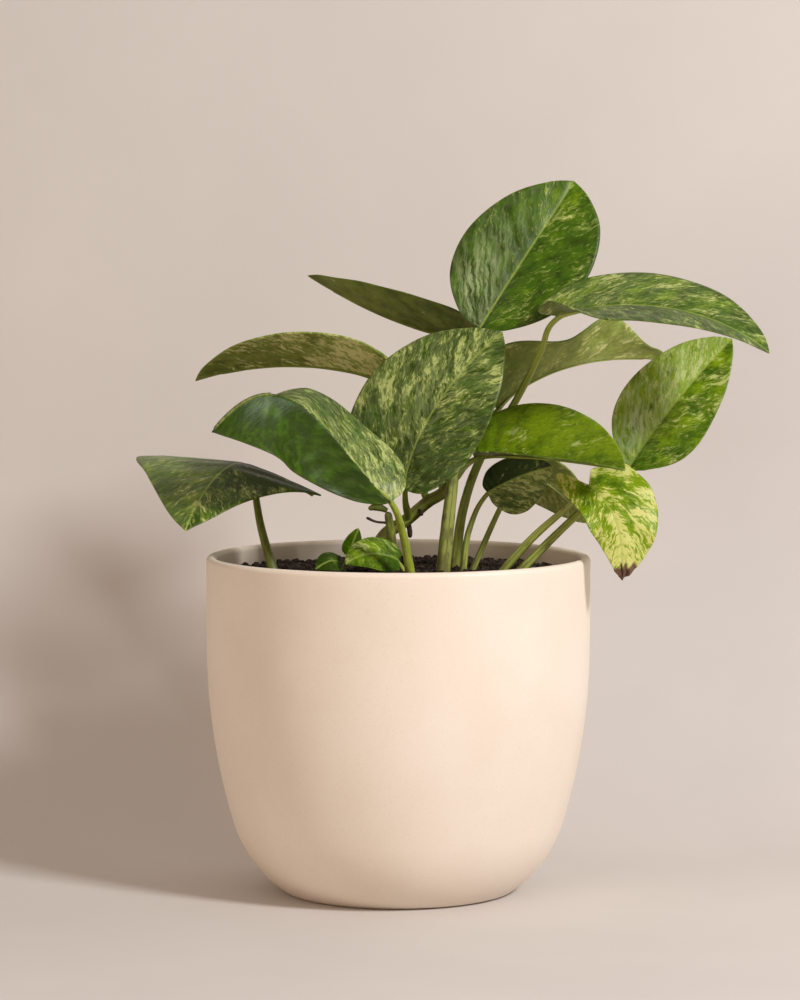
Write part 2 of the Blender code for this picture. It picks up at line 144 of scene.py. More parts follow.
def sweepProfile():
    points = [(sweep["front"] - sweep["bendFront"], sweep["height"])]
    for step in range(sweep["stepsFront"] + 1):
        angle = math.radians(90.0 * step / sweep["stepsFront"])
        points.append((sweep["front"] - sweep["bendFront"] * math.cos(angle),
                       sweep["bendFront"] * (1 - math.sin(angle))))
    for step in range(sweep["stepsBack"] + 1):
        angle = math.radians(90.0 * step / sweep["stepsBack"])
        points.append((sweep["back"] - sweep["bendBack"] * (1 - math.sin(angle)),
                       sweep["bendBack"] * (1 - math.cos(angle))))
    return points + [(sweep["back"], sweep["height"])]


def makeSweep():
    bm = bmesh.new()
    rows = []
    for y, z in sweepProfile():
        rows.append([bm.verts.new((x * mm, y * mm, z * mm)) for x in (-sweep["width"], sweep["width"])])
    for low, high in zip(rows, rows[1:]):
        bm.faces.new((low[0], low[1], high[1], high[0]))
    for face in bm.faces:
        face.smooth = True
    mesh = bpy.data.meshes.new("paperSweep")
    bm.to_mesh(mesh)
    bm.free()
    paper = addObject("paperSweep", mesh)

    # Matt background paper, seen from its face; from behind it lets the view through.
    material, tree, shader = newMaterial("backgroundPaper")
    place = addNode(tree, "ShaderNodeTexCoord")["Object"]
    # slow mottle, about 110 mm
    mottle = addNode(tree, "ShaderNodeTexNoise", {"Vector": place, "Scale": 9.0, "Detail": 3.0})
    tone = addNode(tree, "ShaderNodeMapRange", {0: mottle["Fac"], 1: 0.3, 2: 0.7, 3: 0.97, 4: 1.03})
    paperColour = toLinear(sweep["colour"])
    colour = addNode(tree, "ShaderNodeHueSaturation", {"Value": tone[0], "Color": paperColour})
    linkTo(tree, shader, Base_Color=colour[0])
    shader.inputs["Roughness"].default_value = 0.9
    behind = addNode(tree, "ShaderNodeNewGeometry")["Backfacing"]
    clear = addNode(tree, "ShaderNodeBsdfTransparent")
    both = addNode(tree, "ShaderNodeMixShader", {0: behind, 1: shader.outputs[0], 2: clear[0]})
    tree.links.new(both[0], tree.nodes["Material Output"].inputs["Surface"])
    mesh.materials.append(material)

    # for views from behind, the same paper goes on past the sweep's foot and throws no light on the plant
    beyond = bpy.data.meshes.new("floorBeyond")
    near, far, half = (sweep["back"] - sweep["bendBack"]) * mm, sweep["height"] * mm, sweep["width"] * mm
    corners = [(-half, near, -mm), (half, near, -mm), (half, far, -mm), (-half, far, -mm)]
    beyond.from_pydata(corners, [], [(0, 1, 2, 3)])
    beyond.materials.append(material)
    floor = addObject("floorBeyond", beyond)
    floor.visible_diffuse = floor.visible_glossy = floor.visible_shadow = False


makeSweep()

# Softboxes: azimuth is degrees to the right of the camera.
lights = dict(
    key=dict(azimuth=45.0, elevation=34.0, distance=1700.0, size=280.0, watts=23.8, colour="#FBFAFC"),
    fill=dict(azimuth=-38.0, elevation=6.0, distance=1900.0, size=1100.0, watts=7.6, colour="#FFDEC2"))
roomLight = dict(colour="#FFEEE2", strength=0.42)
lightAim = Vector((0.0, 0.0, 130.0)) * mm

for lightName, softbox in lights.items():
    lamp = bpy.data.lights.new(lightName, "AREA")
    lamp.shape = "SQUARE"
    lamp.size = softbox["size"] * mm
    lamp.energy = softbox["watts"]
    lamp.color = toLinear(softbox["colour"])[:3]
    lampObject = addObject(lightName, lamp)
    azimuth, elevation = math.radians(softbox["azimuth"]), math.radians(softbox["elevation"])
    towards = Vector((math.sin(azimuth) * math.cos(elevation), -math.cos(azimuth) * math.cos(elevation),
                      math.sin(elevation)))
    lampObject.location = lightAim + towards * softbox["distance"] * mm
    lampObject.rotation_euler = towards.to_track_quat("Z", "Y").to_euler()
    lampObject.visible_camera = False

world = bpy.data.worlds.new("room")
world.use_nodes = True
world.node_tree.nodes["Background"].inputs["Color"].default_value = toLinear(roomLight["colour"])
world.node_tree.nodes["Background"].inputs["Strength"].default_value = roomLight["strength"]
bpy.context.scene.world = world
print("stage: camera, paper sweep and light")

# Moulded earthenware, fired to bisque and left unglazed.
planter = dict(
    wall=4.0, floor=7.0, straightRadius=77.3, straightFoot=100.0, longArc=251.0, longTurn=16.7,
    bellyTurn=57.2, straightSteps=8, longSteps=22, bellySteps=26, lipSteps=14, footFlat=9.0, footEase=1.2,
    footRound=0.2, footRise=0.35, cornerRise=3.0, cornerRound=5.0, sides=224, unevenness=0.12, lump=30.0)


# Points (r, z) down an arc that turns inwards; angles are degrees from straight down.
def arcDown(start, radius, firstAngle, lastAngle, steps):
    first = math.radians(firstAngle)
    centre = (start[0] - radius * math.cos(first), start[1] + radius * math.sin(first))
    points = []
    for step in range(steps + 1):
        angle = math.radians(firstAngle + (lastAngle - firstAngle) * step / steps)
        points.append((centre[0] + radius * math.cos(angle), centre[1] - radius * math.sin(angle)))
    return points


# The planter's side (r, z) from the lip down to the foot, moved inwards by inset.
def sideProfile(rim, height, inset):
    size = planter
    top = height - size["wall"] / 2
    shares = [step / size["straightSteps"] for step in range(size["straightSteps"])]
    widening, drop = size["straightRadius"] - rim, size["straightFoot"] - top
    straight = [(rim - inset + widening * share, top + drop * share) for share in shares]
    start = (size["straightRadius"] - inset, size["straightFoot"])
    longArc = arcDown(start, size["longArc"] - inset, 0.0, size["longTurn"], size["longSteps"])
    longSine = math.sin(math.radians(size["longTurn"]))
    turn = math.sin(math.radians(size["bellyTurn"])) - longSine
    bellyRadius = (size["straightFoot"] - size["longArc"] * longSine) / turn
    belly = arcDown(
        longArc[-1], bellyRadius - inset, size["longTurn"], size["bellyTurn"], size["bellySteps"])
    return straight + longArc + belly[1:]


def profileObject(name, points):
    mesh = bpy.data.meshes.new(name)
    edges = [(i, i + 1) for i in range(len(points) - 1)]
    mesh.from_pydata([(r * mm, 0.0, z * mm) for r, z in points], edges, [])
    return addObject(name, mesh)


# Turns a profile about Z. It runs from the middle of the underside out, up and over to the middle again.
def makeTurningTree():
    tree, given = newTree("turnedOnWheel", [
        ("Sides", "Int", 64), ("Unevenness", "Float", 0.0), ("Lump size", "Float", 0.02),
        ("Material", "Material", None)])
    count = addNode(tree, "GeometryNodeAttributeDomainSize", {0: given["Geometry"]})["Point Count"]
    around = addNode(tree, "ShaderNodeMath", {0: given["Sides"], 1: 1.0}, operation="ADD")[0]
    grid = addNode(tree, "GeometryNodeMeshGrid", {0: 1.0, 1: 1.0, 2: around, 3: count})[0]
    place = addNode(tree, "GeometryNodeInputPosition")[0]
    flat = addNode(tree, "ShaderNodeSeparateXYZ", {0: place})
    turn = addNode(tree, "ShaderNodeMath", {0: flat[0], 1: 2 * math.pi}, operation="MULTIPLY")[0]
    last = addNode(tree, "ShaderNodeMath", {0: count, 1: 1.0}, operation="SUBTRACT")[0]
    upward = addNode(tree, "ShaderNodeMath", {0: flat[1], 1: 0.5}, operation="ADD")[0]
    row = addNode(tree, "ShaderNodeMath", {0: upward, 1: last}, operation="MULTIPLY")[0]
    row = addNode(tree, "FunctionNodeFloatToInt", {0: row}, rounding_mode="ROUND")[0]
    point = addNode(tree, "GeometryNodeSampleIndex", {0: given["Geometry"], 1: place, 2: row},
                    data_type="FLOAT_VECTOR")
    profile = addNode(tree, "ShaderNodeSeparateXYZ", {0: point[0]})
    cosine = addNode(tree, "ShaderNodeMath", {0: turn}, operation="COSINE")[0]
    sine = addNode(tree, "ShaderNodeMath", {0: turn}, operation="SINE")[0]
    x = addNode(tree, "ShaderNodeMath", {0: profile[0], 1: cosine}, operation="MULTIPLY")[0]
    y = addNode(tree, "ShaderNodeMath", {0: profile[0], 1: sine}, operation="MULTIPLY")[0]
    turned = addNode(tree, "ShaderNodeCombineXYZ", {0: x, 1: y, 2: profile[2]})[0]
    shaped = addNode(tree, "GeometryNodeSetPosition", {"Geometry": grid, "Position": turned})[0]
    shaped = addNode(tree, "GeometryNodeMergeByDistance", {0: shaped, "Distance": 0.00001})[0]
    lumps = addNode(tree, "ShaderNodeMath", {0: 1.0, 1: given["Lump size"]}, operation="DIVIDE")[0]
    noise = addNode(tree, "ShaderNodeTexNoise", {"Scale": lumps, "Detail": 3.0})["Fac"]
    level = addNode(tree, "ShaderNodeMath", {0: noise, 1: 0.5}, operation="SUBTRACT")[0]
    height = addNode(tree, "ShaderNodeMath", {0: level, 1: given["Unevenness"]}, operation="MULTIPLY")[0]
    normal = addNode(tree, "GeometryNodeInputNormal")[0]
    offset = addNode(tree, "ShaderNodeVectorMath", {0: normal, "Scale": height}, operation="SCALE")[0]
    shaped = addNode(tree, "GeometryNodeSetPosition", {"Geometry": shaped, "Offset": offset})[0]
    smooth = addNode(tree, "GeometryNodeSetShadeSmooth", {0: shaped})[0]
    endTree(tree, smooth, given["Material"])
    return tree


# Unglazed bisque: pale warm clay, matt, with faint cloudy tone from the kiln and a fine sandy tooth.
def makeBisque():
    material, tree, shader = newMaterial("bisqueEarthenware", ior=1.5)
    place = addNode(tree, "ShaderNodeTexCoord")["Object"]
    # clouds from the kiln, 45 mm
    clouds = addNode(tree, "ShaderNodeTexNoise", {"Vector": place, "Scale": 22.0, "Detail": 4.0})["Fac"]
    # pores and grog specks, about 0.6 mm apart
    specks = addNode(tree, "ShaderNodeTexNoise", {"Vector": place, "Scale": 1600.0, "Detail": 2.0})["Fac"]
    # finger-wide drying tone, 12 mm
    cast = addNode(tree, "ShaderNodeTexNoise", {"Vector": place, "Scale": 80.0, "Detail": 2.0})["Fac"]
    cloudTone = addNode(tree, "ShaderNodeMapRange", {0: clouds, 1: 0.35, 2: 0.65})[0]
    base = addNode(tree, "ShaderNodeMix", {0: cloudTone, 6: toLinear("#EADCCB"), 7: toLinear("#EFE3D4")},
                   data_type="RGBA")[2]
    speckTone = addNode(tree, "ShaderNodeMapRange", {0: specks, 1: 0.25, 2: 0.42, 3: 0.35, 4: 0.0})[0]
    speckled = addNode(tree, "ShaderNodeMix", {0: speckTone, 6: base, 7: toLinear("#D8BC9E")},
                       data_type="RGBA")[2]
    rough = addNode(tree, "ShaderNodeMapRange", {0: cast, 1: 0.3, 2: 0.7, 3: 0.52, 4: 0.64})[0]
    tooth = addNode(tree, "ShaderNodeBump", {"Strength": 0.5, "Distance": 0.00006, "Height": specks})[0]
    linkTo(tree, shader, Base_Color=speckled, Roughness=rough, Normal=tooth)
    return material


turnedOnWheel = makeTurningTree()
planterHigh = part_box("planter")[1]
rimRadius, planterHeight = planterHigh.x / mm, planterHigh.z / mm


def lipPoints():
    half = planter["wall"] / 2
    angles = [math.pi * step / planter["lipSteps"] for step in range(planter["lipSteps"] + 1)]
    middle, height = rimRadius - half, planterHeight - half
    return [(middle + half * math.cos(a), height + half * math.sin(a)) for a in angles]


def makePlanter():
    floor = planter["floor"]
    outer = sideProfile(rimRadius, planterHeight, 0.0)
    inner = sideProfile(rimRadius, planterHeight, planter["wall"])
    inner = [point for point in inner if point[1] > floor + planter["cornerRise"]]
    footRadius = outer[-1][0]
    # the foot's edge is eased by a small round, so that the foot sits in a thin dark line
    foot = [(0.0, 0.0), (footRadius - planter["footFlat"], 0.0), (footRadius - planter["footEase"], 0.0),
            (footRadius - planter["footRound"], planter["footRise"])]
    bottom = [(inner[-1][0] - planter["cornerRound"], floor), (0.0, floor)]
    profile = foot + outer[-2::-1] + lipPoints()[1:-1] + inner + bottom
    shell = runTree(profileObject("planterProfile", profile), turnedOnWheel, "planterShell", **{
        "Sides": planter["sides"], "Unevenness": planter["unevenness"] * mm,
        "Lump size": planter["lump"] * mm, "Material": makeBisque()})
    finishPiece(shell, "planter")


makePlanter()
print("planter made")

# Half of a leaf's outline: share of the length, share of the half width. The second point is the lobe. A
# corner outline is widest near the base, and a far belly near the tip.
leafOutline = [(0.0, 0.0), (0.0, 0.42), (0.16, 0.88), (0.42, 1.0), (0.70, 0.76), (0.91, 0.33), (1.0, 0.0)]
cornerOutline = [(0.0, 0.0), (0.0, 0.5), (0.06, 0.9), (0.22, 1.06), (0.56, 0.68), (0.86, 0.27), (1.0, 0.0)]
farBellyOutline = [
    (0.0, 0.0), (0.0, 0.3), (0.16, 0.62), (0.42, 0.86), (0.68, 1.12), (0.89, 0.98), (1.0, 0.0)]
blade = dict(
    rows=112, columns=26, thickness=0.55, shoulderShare=0.8, lobeFoldEnd=0.35, footCrowding=1.7,
    ribCrowding=1.15, veinSweep=0.35, veinReach=0.6, easeFalloff=0.7, rippleStart=0.89, tipFoldFrom=0.5,
    tipFoldFull=0.75, slant=34.0, veins=9.0, quilt=0.20, quiltShift=0.25, quiltWander=1.5, groove=0.42,
    grooveWidth=0.9, grooveFade=0.3, marginWave=0.35, fullRelief=60.0, dryFringe=0.02, dryBlend=0.03,
    crumple=0.9, apart=400.0, waveMultiples=(1.0, 1.7, 2.9), waveTotal=1.6)

# Each leaf: the four points of its midrib's curve, which way its upper face looks (and at the tip, if it
# turns), and for each half: width, fold at the midrib and at the margin in degrees, belly, lobe, lobe fold
# and any fold that it gains towards the tip. An outline of its own stands in for leafOutline. Stalk is the
# radius of the petiole's end.
# Ripple is how far each margin waves up and how many waves there are, and waves the same for the uneven
# wave of both margins. Ease is how many passes even out the left margin where the midrib bends hard.
# HiddenRib keeps the pale rib off the skin where the blade folds sharply over it.
# The markings of a half are how creamy, how lime and how much painted sheen (a painted highlight) it has,
# then single patches: along, side, reach along, reach across, and what they add of cream, lime and painted
# sheen. Age turns cream to yellow, and dry is the share of the length where the blade starts to be brown.
leaves = {
    "leafTop": dict(
        midrib=[(33, 14, 227), (45, 20, 247), (60, 26, 268), (72, 34, 287)],
        up=(-0.1, -1.0, 0.35), upTip=(-0.1, -1.0, 0.3),
        left=(26, 8, 0, 0.03, -0.03, 0), right=(27, 8, 0, 0.14, -0.05, 0), stalk=1.1,
        leftMarks=(-0.34, 0.20, 0.12), rightMarks=(-0.30, 0.24, 0.0),
        patches=[(0.32, -0.42, 0.26, 0.34, 0.0, 0.0, 0.85), (0.85, 0.5, 0.2, 0.5, 0.34, 0.2, 0.0),
                 (0.45, 0.95, 0.3, 0.25, 0.22, 0.0, 0.0), (0.85, -0.5, 0.15, 0.4, 0.22, 0.3, 0.0)]),
    "leafUpperRight": dict(
        midrib=[(63, -12, 233), (88, -16, 241), (122, -29, 239), (145, -40, 219)],
        up=(0.0, -0.5, 0.85), upTip=(0.3, -0.6, 0.75),
        left=(23, 5, 0, -0.03, 0.06, 0), right=(20, 18, 10, 0.0, 0.06, 45), stalk=1.1,
        # The right half is less creamy as painted shade on its near strip, and carries painted sheen.
        leftMarks=(0.0, 0.3, 0.1), rightMarks=(-0.12, 0.1, 0.25),
        patches=[(0.3, -0.5, 0.25, 0.4, 0.14, 0.2, 0.1), (0.8, 0.2, 0.2, 0.5, -0.1, 0.1, 0.0)]),
    "leafBehind": dict(
        midrib=[(40, 25, 195), (58, 31, 213), (88, 44, 217), (112, 47, 213)],
        up=(-0.2, 0.0, 1.0), upTip=(0.0, 0.0, 1.0),
        left=(22, 15, 15, 0.0, 0.08, 0), right=(21, 45, 60, 0.0, 0.08, 15), stalk=1.1,
        ripple=(1.5, 5.0, 3.3),
        leftMarks=(-0.2, 0.45, 0.0), rightMarks=(-0.2, 0.45, 0.0),
        patches=[(0.75, 0.0, 0.25, 1.2, 0.3, 0.4, 0.3)]),
    "leafCentre": dict(
        midrib=[(2, -10, 163), (4, -9, 184), (20, -5, 208), (42, 4, 226)],
        up=(-0.3, -0.85, 0.5), upTip=(-0.2, -0.8, 0.6),
        left=(33, 0, 0, 0.06, 0.04, 0), right=(24, 5, -20, 0.08, 0.0, 0), stalk=1.2,
        leftMarks=(0.05, 0.1, 0.2), rightMarks=(0.0, 0.1, 0.2),
        patches=[(0.3, 0.55, 0.25, 0.4, -0.22, -0.1, -0.1), (0.7, -0.2, 0.2, 0.5, 0.06, 0.0, 0.1)]),
    "leafLeft": dict(
        midrib=[(-3, -34, 160), (-26, -37, 182), (-43, -42, 226), (-72, -58, 189)],
        up=(-0.3, -0.9, 0.3), upTip=(-0.1, -0.8, 0.6),
        left=(28, -5, 0, 0.08, 0.0, 0), right=(23.5, -60, -60, 0.0, 0.0, 40, -30), stalk=1.2,
        leftOutline=farBellyOutline, ease=300, hiddenRib=1.0,
        leftMarks=(-0.75, 0.10, 0.05), rightMarks=(0.12, 0.15, 0.3),
        patches=[(0.95, 0.6, 0.35, 0.6, -0.6, 0.0, -0.3)]),
    "leafLowLeft": dict(
        midrib=[(-60, 8, 172), (-66, -2, 177), (-76, -22, 170), (-83, -48, 150)],
        up=(0.0, -0.4, 0.9), upTip=(0.0, -0.7, 0.7),
        left=(37, 0, -6, 0.0, 0.12, 0), right=(45, -12, -14, 0.0, 0.12, 0), stalk=1.2,
        leftOutline=cornerOutline, rightOutline=cornerOutline,
        leftMarks=(-0.12, 0.2, 0.0), rightMarks=(-0.05, 0.45, 0.12),
        # Its second patch darkens the left half near the base: painted shadow, standing in for the shade
        # cast by leafLeft.
        patches=[(0.8, -0.2, 0.25, 0.6, 0.12, 0.2, 0.0), (0.3, -0.3, 0.35, 0.5, -0.4, -1.0, 0.0)]),
    "leafLeftUpper": dict(
        midrib=[(-6, 28, 206), (-28, 30, 214), (-58, 35, 214), (-84, 40, 205)],
        up=(0.0, 0.0, 1.0),
        left=(22, 40, 40, 0.0, 0.05, 0), right=(22, 30, 30, 0.0, 0.05, 0), stalk=1.1,
        leftMarks=(0.1, 0.4, 0.0), rightMarks=(0.1, 0.4, 0.0),
        patches=[(0.3, 0.0, 0.3, 1.2, 0.4, 0.4, 0.0), (0.9, 0.0, 0.25, 1.2, -0.2, -0.3, 0.0)]),
    "leafUpperLeftBack": dict(
        midrib=[(33, 48, 222), (14, 54, 223), (-12, 64, 232), (-38, 74, 248)],
        up=(0.2, 0.2, 1.0),
        left=(22, 25, 25, 0.0, 0.05, 0), right=(22, 10, 10, 0.0, 0.05, 0), stalk=1.1,
        leftMarks=(-0.35, 0.15, 0.0), rightMarks=(-0.35, 0.15, 0.0),
        patches=[(0.85, 0.0, 0.2, 1.0, 0.2, 0.1, 0.0)]),
    "leafRightCentre": dict(
        midrib=[(31, 6, 176), (46, -2, 178), (70, -20, 176), (89, -36, 173)],
        up=(0.0, -0.15, 1.0),
        left=(25, 50, 44, 0.0, 0.03, 0), right=(18, 16, 12, 0.0, -0.06, 0), stalk=1.1,
        leftMarks=(-0.20, 0.78, 0.0), rightMarks=(-0.2, 0.2, 0.0),
        patches=[(0.5, -0.4, 0.3, 0.4, 0.16, 0.1, 0.0)]),
    "leafSmallFolded": dict(
        midrib=[(36, 3, 161), (44, 1, 166), (53, -2, 170), (62, -4, 172)],
        up=(-0.1, -1.0, 0.3), upTip=(0.0, -0.9, 0.3),
        left=(9, 15, 30, 0.0, 0.0, 0), right=(14, -5, -15, 0.0, 0.0, 0), stalk=0.9,
        leftMarks=(-0.4, -0.2, 0.0), rightMarks=(0.22, 0.35, 0.15)),
    "leafBackRight": dict(
        midrib=[(50, 24, 169), (60, 26, 166), (70, 26, 158), (77, 25, 147)],
        up=(0.3, 0.7, 0.5),
        left=(13, 0, 0, 0.0, 0.05, 0), right=(13, 0, 0, 0.0, 0.05, 0), stalk=0.9,
        # Its high cream and lime are painted light: the glow of light shining through the blade, seen from
        # below.
        leftMarks=(0.25, 1.1, 0.3), rightMarks=(0.25, 1.1, 0.3)),
    "leafYellow": dict(
        midrib=[(76, -20, 166), (83, -28, 161), (90, -34, 150), (88, -32, 129)],
        up=(-0.2, -0.75, 0.6), upTip=(0.0, -0.9, 0.2),
        left=(19, -5, -15, 0.0, 0.15, 0), right=(11, 0, 0, 0.04, 0.34, 0), stalk=1.0, waves=(1.0, 3.0),
        leftMarks=(0.38, 1.0, 0.0), rightMarks=(0.34, 1.0, 0.0), age=0.7, dry=0.89,
        patches=[(0.35, -0.35, 0.25, 0.25, -0.45, -0.5, 0.0), (0.3, 0.45, 0.2, 0.3, -0.4, -0.4, 0.0),
                 (0.9, 0.0, 0.15, 1.0, 0.25, 0.0, 0.0)]),
    "leafRight": dict(
        midrib=[(92, 0, 170), (103, 2, 188), (120, 7, 208), (135, 10, 223)],
        up=(-0.05, -0.95, 0.35),
        left=(20, 8, 0, 0.04, -0.07, 0), right=(18, 8, 0, 0.0, -0.08, 0), stalk=1.0,
        leftMarks=(0.06, 0.8, 0.4), rightMarks=(-0.08, 0.5, 0.0),
        patches=[(0.4, -0.35, 0.25, 0.3, 0.0, 0.0, 0.8), (0.8, 0.0, 0.2, 1.0, 0.25, 0.1, 0.0)]),
    "leafSoilRound": dict(
        midrib=[(0, -9, 135), (-7, -13, 139), (-15, -16, 139), (-21, -19, 134)],
        up=(0.0, -0.8, 0.6),
        left=(8, 0, 0, 0.0, 0.05, 0), right=(8, 0, 0, 0.0, 0.05, 0), stalk=0.8,
        leftMarks=(-0.3, 0.45, 0.0), rightMarks=(0.0, 0.5, 0.0),
        patches=[(0.5, 0.5, 0.3, 0.4, 0.2, 0.2, 0.0)]),
    "leafSoilLeft": dict(
        midrib=[(-23, -10, 134), (-26, -13, 136), (-29, -16, 135), (-33, -18, 132)],
        up=(0.0, -0.7, 0.7),
        left=(6, 0, 0, 0.0, 0.05, 0), right=(5, 0, 0, 0.0, 0.05, 0), stalk=0.7,
        leftMarks=(-0.4, 0.1, 0.0), rightMarks=(-0.3, 0.1, 0.0)),
    "leafSoilRolled": dict(
        midrib=[(-20, -1, 136), (-19, -1, 139), (-18, -2, 142), (-16, -2, 147)],
        up=(0.3, -0.7, 0.5),
        left=(4, 10, 30, 0.0, 0.0, 0), right=(4, 10, 30, 0.0, 0.0, 0), stalk=0.7,
        leftMarks=(-0.4, 0.4, 0.0), rightMarks=(-0.3, 0.4, 0.0)),
}


# leafTop in the looks stands for leaf_top in the frame.
def nodeName(name):
    return "".join("_" + letter.lower() if letter.isupper() else letter for letter in name)


# The smooth curve through the points, at every share from 0 to 1.
def throughPoints(points, share):
    points = np.asarray(points, float)
    spans = len(points) - 1
    span = np.minimum((share * spans).astype(int), spans - 1)
    t = (share * spans - span)[..., None]
    before, start = points[np.maximum(span - 1, 0)], points[span]
    end, after = points[span + 1], points[np.minimum(span + 2, spans)]
    bend = 2 * before - 5 * start + 4 * end - after
    twist = 3 * start - before - 3 * end + after
    return 0.5 * (2 * start + (end - before) * t + bend * t * t + twist * t ** 3)


# The place on a midrib's curve at every share from 0 to 1.
def midribPlace(points, share):
    a, b, c, d = [np.asarray(point, float) for point in points]
    t = share[..., None]
    u = 1.0 - t
    return a * u ** 3 + b * 3 * u * u * t + c * 3 * u * t * t + d * t ** 3


def midribLength(points):
    steps = midribPlace(points, np.linspace(0.0, 1.0, 9))
    return float(np.linalg.norm(np.diff(steps, axis=0), axis=1).sum())


# Place and direction along a midrib; before its base it runs straight on.
def midribAt(points, x):
    a, b, c, d = [np.asarray(point, float) for point in points]
    t = np.maximum(x, 0.0)[..., None]
    u = 1.0 - t
    slope = (b - a) * 3 * u * u + (c - b) * 6 * u * t + (d - c) * 3 * t * t
    forward = slope / np.linalg.norm(slope, axis=-1, keepdims=True)
    before = np.minimum(x, 0.0)[..., None] * midribLength(points)
    return midribPlace(points, np.maximum(x, 0.0)) + forward * before, forward


def upAt(leaf, x, forward):
    share = np.clip(x, 0.0, 1.0)[..., None]
    base, tip = [np.asarray(leaf.get(end, leaf["up"]), float) for end in ("up", "upTip")]
    up = base * (1 - share) + tip * share
    up = up - forward * (up * forward).sum(-1, keepdims=True)
    return up / np.linalg.norm(up, axis=-1, keepdims=True)


# One half blade on a grid: along runs from base to tip by the veins, reach from midrib to margin.
def halfBlade(leaf, half, sign, along, reach):
    width, fold, foldMargin, belly, lobe, lobeFold = leaf[half][:6]
    tipFold = sum(leaf[half][6:])
    outline = list(leaf.get(half + "Outline", leafOutline))
    outline[1] = (-lobe, outline[1][1])
    outline[2] = (outline[2][0] - blade["shoulderShare"] * lobe, outline[2][1])
    edge = throughPoints(outline, along)
    edgeX, edgeY = edge[..., 0], edge[..., 1]
    edgeX = edgeX + belly * np.sin(np.pi * np.clip(edgeX, 0.0, 1.0))
    foot = along ** blade["footCrowding"]
    bendX = foot + blade["veinSweep"] * (edgeX - foot)
    x = foot * (1 - reach) ** 2 + bendX * 2 * reach * (1 - reach) + edgeX * reach ** 2
    y = np.maximum(blade["veinReach"] * edgeY * 2 * reach * (1 - reach) + edgeY * reach ** 2, 0.0)
    place, forward = midribAt(leaf["midrib"], x)
    up = upAt(leaf, x, forward)
    right = np.cross(forward, up)
    lift = lobeFold * np.maximum(0.0, 1.0 - np.maximum(x, 0.0) / blade["lobeFoldEnd"]) ** 2
    nearTip = np.clip((x - blade["tipFoldFrom"]) / (blade["tipFoldFull"] - blade["tipFoldFrom"]), 0.0, 1.0)
    start = np.radians(fold + lift + tipFold * nearTip)
    turn = math.radians(foldMargin - fold)
    if abs(turn) < 0.001:
        sideways, upwards = width * y * np.cos(start), width * y * np.sin(start)
    else:
        end = start + turn * y
        sideways = width * (np.sin(end) - np.sin(start)) / turn
        upwards = width * (np.cos(start) - np.cos(end)) / turn
    leftWave, rightWave, waves = leaf.get("ripple", (0, 0, 0))
    wave = leftWave if sign < 0 else rightWave
    ripple = np.sin(2 * np.pi * (waves * along - blade["rippleStart"])) * np.sin(np.pi * along) ** 2
    upwards = upwards + wave * reach ** 2 * ripple
    return place + right * (sign * sideways)[..., None] + up * upwards[..., None], x, y * width


# Slow uneven waves: a few sines of different lengths with phases drawn from the leaf's own seed.
def unevenWave(random, share, waves):
    total = np.zeros_like(share)
    for multiple in blade["waveMultiples"]:
        total += np.sin(2 * np.pi * (waves * multiple * share + random.random())) / multiple
    return total / blade["waveTotal"]


